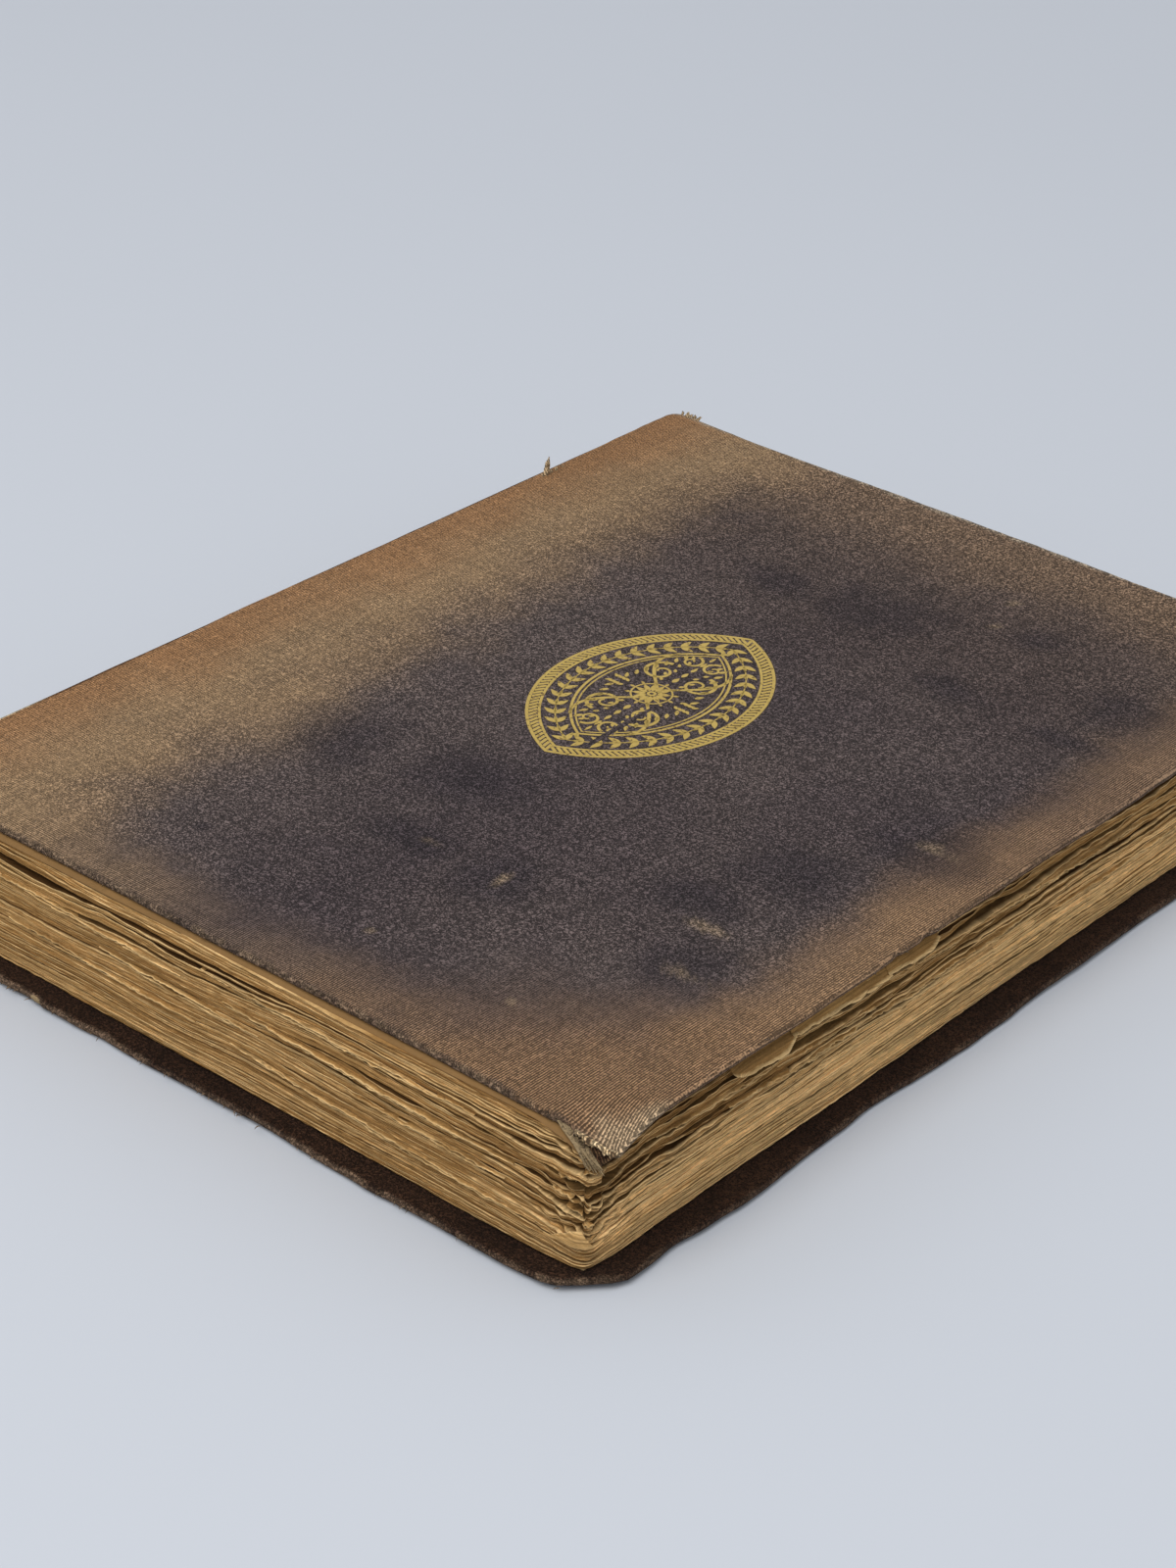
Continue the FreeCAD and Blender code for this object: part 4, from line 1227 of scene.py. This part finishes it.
# Torn edges that stand out of the stack: from and to along the edges, heights there, and how far out
DECKLES = [
    (-96, -18, 21.4, 19.6, 1.0), (-102, -28, 26.5, 26.0, 0.7), (-94, -12, 12.2, 8.9, 0.8),
    (-62, -20, 16.4, 15.4, 0.7), (-172, -108, 24.0, 22.4, 0.9), (-160, -104, 14.2, 13.0, 0.8),
    (-132, -86, 18.6, 17.6, 0.7), (43, 90, 19.6, 18.3, 1.2), (85, 152, 18.3, 17.6, 1.0),
    (94, 124, 25.4, 23.4, 1.0), (20, 58, 24.2, 22.6, 0.9), (58, 98, 21.6, 20.7, 0.8),
    (128, 192, 24.0, 22.0, 1.0), (150, 212, 14.6, 14.0, 0.7), (200, 250, 21.0, 20.0, 0.9),
]
DECKLE_STEP = 0.6


def deckle(start, end, low, high, reach, seed):
    """One torn leaf edge, crinkled and drooping a little, with a painted highlight on its lip and painted shade
    further in.
    """
    u, v = grid(max(12, round((end - start) / DECKLE_STEP)), 4)
    v = v ** 0.6
    walk = start + (end - start) * u
    place, away = edge_place(walk[:, 0])
    fade = ease(u * 6) * ease((1 - u) * 6)
    crinkle = 0.3 * noise(walk / 6, 0.5, seed) + 0.3 * noise(walk / 2.1, 1.5, seed)
    crinkle = crinkle + 0.12 * noise(walk / 1.1, 2.5, seed) + 0.3 * noise(walk / 0.8, 3.5, seed)
    out = -1.6 + (1.6 - 0.3 + (0.2 + reach * (0.4 + 0.8 * crinkle)) * fade) * v
    flat = place[:, None, :] + away[:, None, :] * out[..., None]
    ripple = 0.3 * noise(walk / 11, v * 0.2, seed + 1) + 0.2 * noise(walk / 3.1, 0.5, seed + 2)
    ripple = ripple + 0.16 * v * noise(walk / 1.0, 0.5, seed + 5)
    z = low + (high - low) * u + ripple - 0.25 * v ** 2 * reach
    upper = np.dstack([flat, z])
    # Painted highlight along the lip, and painted shade further into the stack.
    lip = (0.45 + 0.25 * noise(walk / 3, 0.2, seed + 4)) * ease((v - 0.8) / 0.2)
    tone = 0.5 + 0.2 * noise(walk / 7, v * 2, seed + 3) + lip
    colours = leaf_colours(tone, 0.6 * (1 - v) + 0 * u)
    return thick_sheet(upper, upper - np.array([0, 0, 0.12])), with_shaded_underside(colours, 0.3)


def deckles():
    """Each torn edge with a second, shorter one close below it."""
    made = []
    for number, (start, end, low, high, reach) in enumerate(DECKLES):
        made.append(deckle(start, end, low, high, reach, 130 + 7 * number))
        made.append(deckle(start + 9, end - 5, low - 0.5, high - 0.4, 0.85 * reach, 133 + 7 * number))
    leaf_group("torn_leaf_edges", made)


deckles()
curled_tips()
dog_ear()
hanging_leaf("hanging_leaf_1", 40, 60.5, [3.0, 5.6, 6.3, 6.7, 7.1, 7.3, 6.9, 3.6], 71)
hanging_leaf("hanging_leaf_2", 59, 92, [3.6, 4.3, 4.6, 4.9, 4.8, 5.2, 5.5, 5.3, 4.2], 72)
hanging_leaf("hanging_leaf_3", 91, 109, [3.6, 4.0, 4.2, 4.8, 5.3, 5.4, 4.6, 2.6], 73)


# Papers and the inside of the covers
def paper_sheet(name, node, low, high, lift, body, material, seed):
    """A sheet of paper with slightly uneven edges, following a warp."""
    u, v = grid(32, 40)
    x = low[0] + (high[0] - low[0]) * u + 0 * v
    y = low[1] + (high[1] - low[1]) * v + 0 * u
    x = x - np.abs(0.5 * noise(y / 16, 0.2, seed) * ease((u - 0.9) / 0.1))
    y = y - 0.4 * noise(x / 14, 0.7, seed) * (ease((v - 0.95) / 0.05) - ease((0.05 - v) / 0.05)) * 0.8
    upper = np.dstack([x, y, high[2] + lift(x, y)])
    lower = np.dstack([x, y, low[2] + lift(x, y)])
    points, faces = thick_sheet(upper, lower)
    piece = make_object(name, points, faces, material, body)
    if material == FLYLEAF:
        set_paint(piece, flyleaf_paint(points[:, 0], points[:, 1], low, high, seed))
    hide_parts(node)


def flyleaf_paint(x, y, low, high, seed):
    """Tan paper, browner towards its three free edges, with painted shade in a narrow band along them."""
    inside = np.minimum.reduce([high[0] - x, y - low[1], high[1] - y])
    tone = 0.74 - 0.34 * fall(inside + 3 * noise(x / 17, y / 17, seed), 2, 26) + 0.05 * cloud(x, y, 60, seed)
    pale = 0.55 * fall(2 * np.abs(tone - 0.74), 0, 0.5)
    sheet = mixed(leaf_colours(tone, 0 * tone), colour(204, 184, 144), pale)
    # Painted shade in a narrow band along the free edges.
    rough_edge = fall(inside + 0.8 * noise(x / 4, y / 4, seed + 5), 1.0, 5.0)
    return mixed(sheet, colour(128, 98, 62), 0.8 * rough_edge)


def block_top_lift(x, y):
    """The top leaf is pressed down where the front cover is, and flat elsewhere."""
    return np.minimum(front_lift(x, y), 0.0)


def flat_lift(x, y):
    """No warp."""
    return 0.0 * (x + y)


# The pastedowns sink this far into the cloth that they are pasted on
PASTE_SINK = 0.02
paper_sheet("front_flyleaf", "front_free_endpaper", ENDPAPER_LOW, ENDPAPER_HIGH, block_top_lift,
            "book_block", FLYLEAF, 61)
paper_sheet("back_flyleaf", "back_free_endpaper", BACK_ENDPAPER_LOW, BACK_ENDPAPER_HIGH, flat_lift,
            "book_block", FLYLEAF, 62)
paper_sheet("front_inner_paper", "front_pastedown", PASTE_LOW, (*PASTE_HIGH[:2], FRONT_LOW[2] + PASTE_SINK),
            front_lift, "front_cover", ENDPAPER, 63)
paper_sheet("back_inner_paper", "back_pastedown", (*BACK_PASTE_LOW[:2], BACK_HIGH[2] - PASTE_SINK),
            BACK_PASTE_HIGH, back_lift, "back_cover", ENDPAPER, 64)

for node, material in (("spine_mull", MULL), ("spine_paper_lining", LINING), ("spine_inlay", LINING),
                       ("sewing_tape_1", TAPE), ("sewing_tape_2", TAPE),
                       ("sewing_tape_3", TAPE), ("sewing_tape_4", TAPE),
                       ("gilt_centrepiece", GILT)):
    mesh = frame["nodes"][node].data
    mesh.materials.clear()
    mesh.materials.append(material)


# The spine's cloth and the cloth across the joints
SPINE_MIDDLE_Z = (BLOCK_BOTTOM + BLOCK_TOP) / 2
HALF_BLOCK = (BLOCK_TOP - BLOCK_BOTTOM) / 2
TEXT_RADIUS = (HALF_BLOCK ** 2 + SPINE_ROUND ** 2) / (2 * SPINE_ROUND)
SPINE_CENTRE_X = TEXT_LOW[0] + TEXT_RADIUS
SPINE_RADIUS = SPINE_CENTRE_X - SPINE_LOW[0]
SPINE_HALF_Z = (SPINE_HIGH[2] - SPINE_LOW[2]) / 2
SPINE_INNER_RADIUS = math.hypot(SPINE_CENTRE_X - SPINE_HIGH[0], SPINE_HALF_Z)
SPINE_TURN_IN = 12.0


def painted_sheet(name, upper, lower, paint, body=None):
    """A cloth sheet between two grids, coloured by its place."""
    points, faces = thick_sheet(upper, lower)
    return cloth_piece(name, points, faces, body, *paint(points[:, 0], points[:, 1]))


def spine_cloth():
    """The cloth over the rounded spine, turned in at the tail and at the head."""
    outer, inner = SPINE_RADIUS - CLOTH / 2, SPINE_INNER_RADIUS + CLOTH / 2
    low_y, high_y = SPINE_LOW[1], SPINE_HIGH[1]
    turn = (outer - inner) / 2
    bend = np.radians(np.linspace(-90, 90, 7))
    tail_end = np.column_stack([low_y + turn - turn * np.cos(bend), inner + turn + turn * np.sin(bend)])
    head_end = np.column_stack([high_y - turn + turn * np.cos(-bend), inner + turn + turn * np.sin(-bend)])
    middle = np.linspace(low_y + 2, high_y - 2, 130)
    profile = np.vstack([[low_y + SPINE_TURN_IN, inner], [low_y + 5, inner], tail_end,
                         np.column_stack([middle, np.full(len(middle), outer)]),
                         head_end, [high_y - 5, inner], [high_y - SPINE_TURN_IN, inner]])
    ahead = np.gradient(profile, axis=0)
    ahead /= np.linalg.norm(ahead, axis=1)[:, None]
    away = np.column_stack([-ahead[:, 1], ahead[:, 0]]) * CLOTH / 2
    height = np.linspace(-SPINE_HALF_Z, SPINE_HALF_Z, 36)[None, :]
    sides = []
    for side in (profile + away, profile - away):
        y = side[:, :1] + 0 * height
        dent = 0.16 * noise(y / 26, height / 9, 111) + 0.1 * noise(y / 60, height / 2.2, 112)
        ends = hump(np.minimum(y - low_y, high_y - y), 6) * (0.2 + 0.18 * noise(height / 6, y * 0.01, 113))
        radius = side[:, 1:] + dent
        x = SPINE_CENTRE_X - np.sqrt(radius ** 2 - height ** 2)
        frayed_y = y + ends * 0.4 * np.sign((low_y + high_y) / 2 - y)
        sides.append(np.dstack([x, frayed_y, SPINE_MIDDLE_Z + height + 0 * y]))
    piece = painted_sheet("spine_covering", *sides, spine_paint, "book_block")
    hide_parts("spine_cloth")


def front_joint_paint(x, y):
    """The top joint: pale where the cloth has gone near the tail, dark further on."""
    base, worn = spine_paint(x, y)
    from_tail = y - FRONT_LOW[1] + 6 * noise(y / 7, 0.5, 121)
    pale = 0.85 * fall(from_tail, 38, 50) * (0.7 + 0.3 * noise(y / 2.5, x, 122))
    base = mixed(base, colour(88, 62, 42), 0.7)
    return mixed(base, colour(214, 196, 160), pale), worn


# The joints' sections on from the spine: each point in half thicknesses of the cover, from the middle of its
# rounded edge
FRONT_SECTION = [(-0.3, -1.5), (-1.05, -0.5), (-1.2, 0.2), (-0.8, 0.95), (0, 1.15)]
BACK_SECTION = [(-2.0, 1.2), (-1.4, 0.2), (-0.9, -0.6), (-0.2, -0.8)]
JOINT_START = 1.6
JOINT_CLEARANCE = 0.15
JOINT_HALF_THICKNESS = 0.14


def joint_strip(name, cover, section, start_z, paint):
    """A strip of cloth along a joint, from the spine at that height to the cover."""
    low, high = cover.low, cover.high
    half = (high[2] - low[2]) / 2
    start_reach = math.sqrt(SPINE_RADIUS ** 2 - (SPINE_HALF_Z - JOINT_START) ** 2)
    path = [(SPINE_CENTRE_X - start_reach - JOINT_CLEARANCE, start_z)]
    path += [(low[0] + half + half * out, low[2] + half + half * up) for out, up in section]
    path = np.asarray(path, float)
    share = np.linspace(0, 1, 14)
    walk = np.concatenate([[0], np.cumsum(np.linalg.norm(np.diff(path, axis=0), axis=1))])
    line = np.column_stack([np.interp(share * walk[-1], walk, path[:, axis]) for axis in (0, 1)])
    for _ in range(2):
        line[1:-1] = (line[:-2] + 2 * line[1:-1] + line[2:]) / 4
    ahead = np.gradient(line, axis=0)
    away = np.column_stack([-ahead[:, 1], ahead[:, 0]]) / np.linalg.norm(ahead, axis=1)[:, None]
    low_y = max(SPINE_LOW[1], low[1]) + 1.0
    high_y = min(SPINE_HIGH[1], high[1]) - 1.0
    y = np.linspace(low_y, high_y, 260)[:, None] + 0 * share[None, :]
    swell = 0.14 * noise(y / 9, share * 3, 123) * np.sin(math.pi * share)
    sides = []
    for offset in (JOINT_HALF_THICKNESS, -JOINT_HALF_THICKNESS):
        x = line[:, 0] + away[:, 0] * (offset + swell)
        z = line[:, 1] + away[:, 1] * (offset + swell)
        sides.append(np.dstack([x, y, z]))
    piece = painted_sheet(name, *sides, paint)
    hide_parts("spine_cloth")
    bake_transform(piece)


spine_cloth()
joint_strip("front_joint_cloth", FRONT, FRONT_SECTION, SPINE_HIGH[2] - JOINT_START, front_joint_paint)
joint_strip("back_joint_cloth", BACK, BACK_SECTION, SPINE_LOW[2] + JOINT_START, spine_paint)


# The gilt centrepiece: a pointed oval of leaf and scroll work
GILT_MIDDLE = ((GILT_LOW[0] + GILT_HIGH[0]) / 2, (GILT_LOW[1] + GILT_HIGH[1]) / 2)
# How long the oval is for its width
GILT_SLIMNESS = 1.49
GILT_HALF_WIDTH = (GILT_HIGH[0] - GILT_LOW[0]) / 2
GILT_HALF = (GILT_HALF_WIDTH, GILT_HALF_WIDTH * GILT_SLIMNESS)
OVAL_RADIUS = (GILT_HALF[0] ** 2 + GILT_HALF[1] ** 2) / (2 * GILT_HALF[0])
OVAL_OFFSET = OVAL_RADIUS - GILT_HALF[0]
GILT_BREADTH = 1.3


def oval(inset, count=160):
    """Points round the pointed oval, so far in from its edge, starting at its head."""
    radius = OVAL_RADIUS - inset
    reach = math.acos(OVAL_OFFSET / radius)
    angle = np.linspace(reach, -reach, count // 2, endpoint=False)
    right = np.column_stack([radius * np.cos(angle) - OVAL_OFFSET, radius * np.sin(angle)])
    return np.concatenate([right, -right])


def oval_frames(inset, count):
    """Evenly spaced places on the oval with their directions along and inward."""
    line = oval(inset, 400)
    line = np.vstack([line, line[:1]])
    walk = np.concatenate([[0], np.cumsum(np.linalg.norm(np.diff(line, axis=0), axis=1))])
    at = (np.arange(count) + 0.5) / count * walk[-1]
    place = np.column_stack([np.interp(at, walk, line[:, axis]) for axis in (0, 1)])
    ahead = np.column_stack([np.interp(at + 0.4, walk, line[:, axis]) for axis in (0, 1)]) - place
    ahead /= np.linalg.norm(ahead, axis=1)[:, None]
    inward = np.column_stack([ahead[:, 1], -ahead[:, 0]])
    return place, ahead, inward


def gilt_line(path, width, closed=False):
    """A line of gold leaf lying on the cover; width may differ along it."""
    path = np.asarray(path, float)
    if closed:
        path = np.vstack([path, path[:1]])
    ahead = np.gradient(path, axis=0)
    ahead /= np.maximum(np.linalg.norm(ahead, axis=1), 1e-9)[:, None]
    half_width = np.broadcast_to(width, len(path)) * GILT_BREADTH / 2
    side = np.column_stack([-ahead[:, 1], ahead[:, 0]]) * half_width[:, None]
    flat = np.stack([path + side, path - side], 1) + GILT_MIDDLE
    z = FRONT_HIGH[2] + front_lift(flat[..., 0], flat[..., 1])
    return thick_sheet(np.dstack([flat, z + 0.045]), np.dstack([flat, z - 0.03]))


def petal(base, ahead, length, width):
    """A small leaf: a pointed stroke that swells in the middle."""
    share = np.linspace(0, 1, 9)
    swell = width * np.sin(math.pi * share ** 0.8) + 0.08
    return gilt_line(base + np.outer(share * length, ahead), swell)


def leaf_at(x, y, away_x, away_y, length, width):
    """A small leaf at a place of the ornament, pointing away along a direction."""
    return petal(np.array([x, y]), np.array([away_x, away_y]), length, width)


def spiral(centre, start_angle, turns, radius, hand):
    """A line that winds inward; hand is its sense, 1 or -1."""
    share = np.linspace(0, 1, 40)
    angle = math.radians(start_angle) + hand * share * turns * 2 * math.pi
    reach = radius * (1 - 0.86 * share)
    return np.asarray(centre, float) + np.column_stack([reach * np.cos(angle), reach * np.sin(angle)])


# The border's plain rings, each with its inset and its width
RINGS = [(0.3, 0.6), (3.1, 0.5), (10.2, 0.5), (11.3, 0.3)]
ROPE_INSET = 1.7
ROPE_STROKES = 124
WREATH_INSET = 6.7
WREATH_LEAVES = 36
ROSETTE_PETALS = 12
QUARTERS = [(-1, -1), (-1, 1), (1, -1), (1, 1)]


def border():
    """Plain rings, a roped one and a wreath of small leaves."""
    parts = [gilt_line(oval(inset), width, True) for inset, width in RINGS]
    for place, ahead, inward in zip(*oval_frames(ROPE_INSET, ROPE_STROKES)):
        slant = ahead * 0.75 + inward
        parts.append(gilt_line([place - slant, place, place + slant], 0.62))
    for place, ahead, inward in zip(*oval_frames(WREATH_INSET, WREATH_LEAVES)):
        for turn in (1, -1):
            parts.append(petal(place - ahead * 1.9, ahead * 0.72 + inward * 0.69 * turn, 3.6, 1.05))
        parts.append(petal(place - ahead * 1.5, ahead, 2.6, 0.55))
    parts.append(gilt_line(oval(WREATH_INSET), 0.25, True))
    return parts


def scrolls(side, end):
    """One quarter of the middle: two spirals and a bent stem with leaves beside it."""
    upper = spiral((side * 5.4, end * 10.0), 90 * end, 1.35, 4.6, -side * end)
    lower = spiral((side * 3.2, end * 18.6), 90 * end, 1.2, 2.9, side * end)
    sweep = np.linspace(0, 1, 20)
    stem = np.column_stack([side * (0.6 + 8.6 * np.sin(sweep * 2.2)), end * (3.0 + 17.0 * sweep)])
    parts = [
        gilt_line(upper, np.linspace(0.75, 0.4, len(upper))),
        gilt_line(lower, np.linspace(0.6, 0.35, len(lower))),
        gilt_line(stem, 0.45 + 0.25 * np.sin(sweep * math.pi)),
    ]
    for step in range(7):
        x, y = side * (9.4 - 0.75 * step), end * (2.2 + 2.7 * step)
        parts.append(leaf_at(x, y, side * 0.5, end * 0.86, 2.3, 0.7))
    return parts


def rosette():
    """Petals round the centre, with a small ring inside and a larger one outside."""
    parts = []
    for step in range(ROSETTE_PETALS):
        turn = 2 * math.pi * step / ROSETTE_PETALS
        away = np.array([math.cos(turn), math.sin(turn)])
        parts.append(petal(away * 1.3, away, 3.3, 0.95))
        parts.append(petal(away * 5.0, away, 1.3, 0.5))
    ring = np.linspace(0, 2 * math.pi, 40, endpoint=False)
    circle = np.column_stack([np.cos(ring), np.sin(ring)])
    parts.append(gilt_line(circle * 0.8, 0.5, True))
    parts.append(gilt_line(circle * 4.8, 0.35, True))
    return parts


def scattered_leaves():
    """Small leaves that fill the ground between the scrolls."""
    parts = []
    for side, end in QUARTERS:
        for step in range(6):
            x, y = side * (2.6 + 0.9 * (step % 2)), end * (6.6 + 2.6 * step)
            parts.append(leaf_at(x, y, side * 0.6, end * 0.8, 1.5, 0.6))
        for step in range(4):
            parts.append(leaf_at(side * (7.6 + 1.1 * step), end * 0.9, side * 0.8, end * 0.6, 1.7, 0.6))
    for end in (-1, 1):
        for step in range(5):
            parts.append(leaf_at(0.0, end * (7.5 + 3.4 * step), 0.0, end, 2.6, 0.9 - 0.1 * step))
        for slant in (-0.45, 0.45):
            parts.append(leaf_at(0.0, end * 26.0, slant, end * 0.8, 2.0, 0.6))
    return parts


def gilt_centrepiece():
    """The whole ornament, lying on the front cover."""
    parts = border()
    for side, end in QUARTERS:
        parts += scrolls(side, end)
    parts += rosette() + scattered_leaves()
    points, faces = join(parts)
    piece = make_object("gilt_ornament", points, faces, GILT, "front_cover", smooth=False)
    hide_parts("gilt_centrepiece")


gilt_centrepiece()


# Floor, light and camera; the floor and the light are sized in metres
FLOOR_HALF = 6.0


def floor():
    """A pale surface under the book."""
    corners = [(x * FLOOR_HALF, y * FLOOR_HALF, 0) for x, y in ((-1, -1), (1, -1), (1, 1), (-1, 1))]
    mesh = bpy.data.meshes.new("floor")
    mesh.from_pydata(corners, [], [(0, 1, 2, 3)])
    m = Material("pale_floor", 0.7, 0.2)
    mesh.materials.append(m.finish(m.mix(m.noise(400, 1), colour(203, 207, 213), colour(200, 204, 210))))
    piece = bpy.data.objects.new("floor", mesh)
    bpy.context.scene.collection.objects.link(piece)


KEY_PLACE = (0.1, -1.1, 1.7)
KEY_TARGET = (0, -0.1, 0)
KEY_SIZE = 1.6
KEY_POWER = 22
KEY_TINT = (1.0, 0.99, 0.975)
SKY = colour(228, 231, 237)
SKY_STRENGTH = 0.8


def key_light():
    """One large soft lamp over the tail side."""
    light = bpy.data.lights.new("key", "AREA")
    light.shape = "DISK"
    light.size = KEY_SIZE
    light.energy = KEY_POWER
    light.color = KEY_TINT
    piece = bpy.data.objects.new("key", light)
    piece.location = KEY_PLACE
    piece.rotation_euler = (Vector(KEY_TARGET) - Vector(KEY_PLACE)).to_track_quat("-Z", "Y").to_euler()
    bpy.context.scene.collection.objects.link(piece)


def world():
    """Even light from all round."""
    made = bpy.data.worlds.new("studio")
    bpy.context.scene.world = made
    made.use_nodes = True
    background = made.node_tree.nodes["Background"]
    background.inputs["Color"].default_value = SKY
    background.inputs["Strength"].default_value = SKY_STRENGTH


# The camera stood off the near corner and looked across the book to the spine's head end
CAMERA_PLACE = (438.95, -561.15, 420.4)
CAMERA_YAW = math.radians(38.96)
CAMERA_PITCH = math.radians(29.54)
CAMERA_ROLL = math.radians(2.53)
FOCAL_PIXELS = 3682.0
FRAME_HEIGHT_PIXELS = 1600
SENSOR = 36.0


def camera():
    """The photo's camera."""
    ahead = Vector((-math.sin(CAMERA_YAW) * math.cos(CAMERA_PITCH),
                    math.cos(CAMERA_YAW) * math.cos(CAMERA_PITCH), -math.sin(CAMERA_PITCH)))
    level = Vector((math.cos(CAMERA_YAW), math.sin(CAMERA_YAW), 0))
    upright = level.cross(ahead)
    right = math.cos(CAMERA_ROLL) * level + math.sin(CAMERA_ROLL) * upright
    up = -math.sin(CAMERA_ROLL) * level + math.cos(CAMERA_ROLL) * upright
    made = bpy.data.cameras.new("camera")
    made.sensor_fit = "VERTICAL"
    made.sensor_height = SENSOR
    made.lens = FOCAL_PIXELS / FRAME_HEIGHT_PIXELS * SENSOR
    made.clip_start = 0.01
    made.clip_end = 30
    piece = bpy.data.objects.new("camera", made)
    turn = Matrix((right, up, -ahead)).transposed().to_4x4()
    piece.matrix_world = Matrix.Translation(Vector(CAMERA_PLACE) * MM) @ turn
    bpy.context.scene.collection.objects.link(piece)
    bpy.context.scene.camera = piece


floor()
world()
key_light()
camera()
bpy.context.scene.view_settings.view_transform = "Standard"
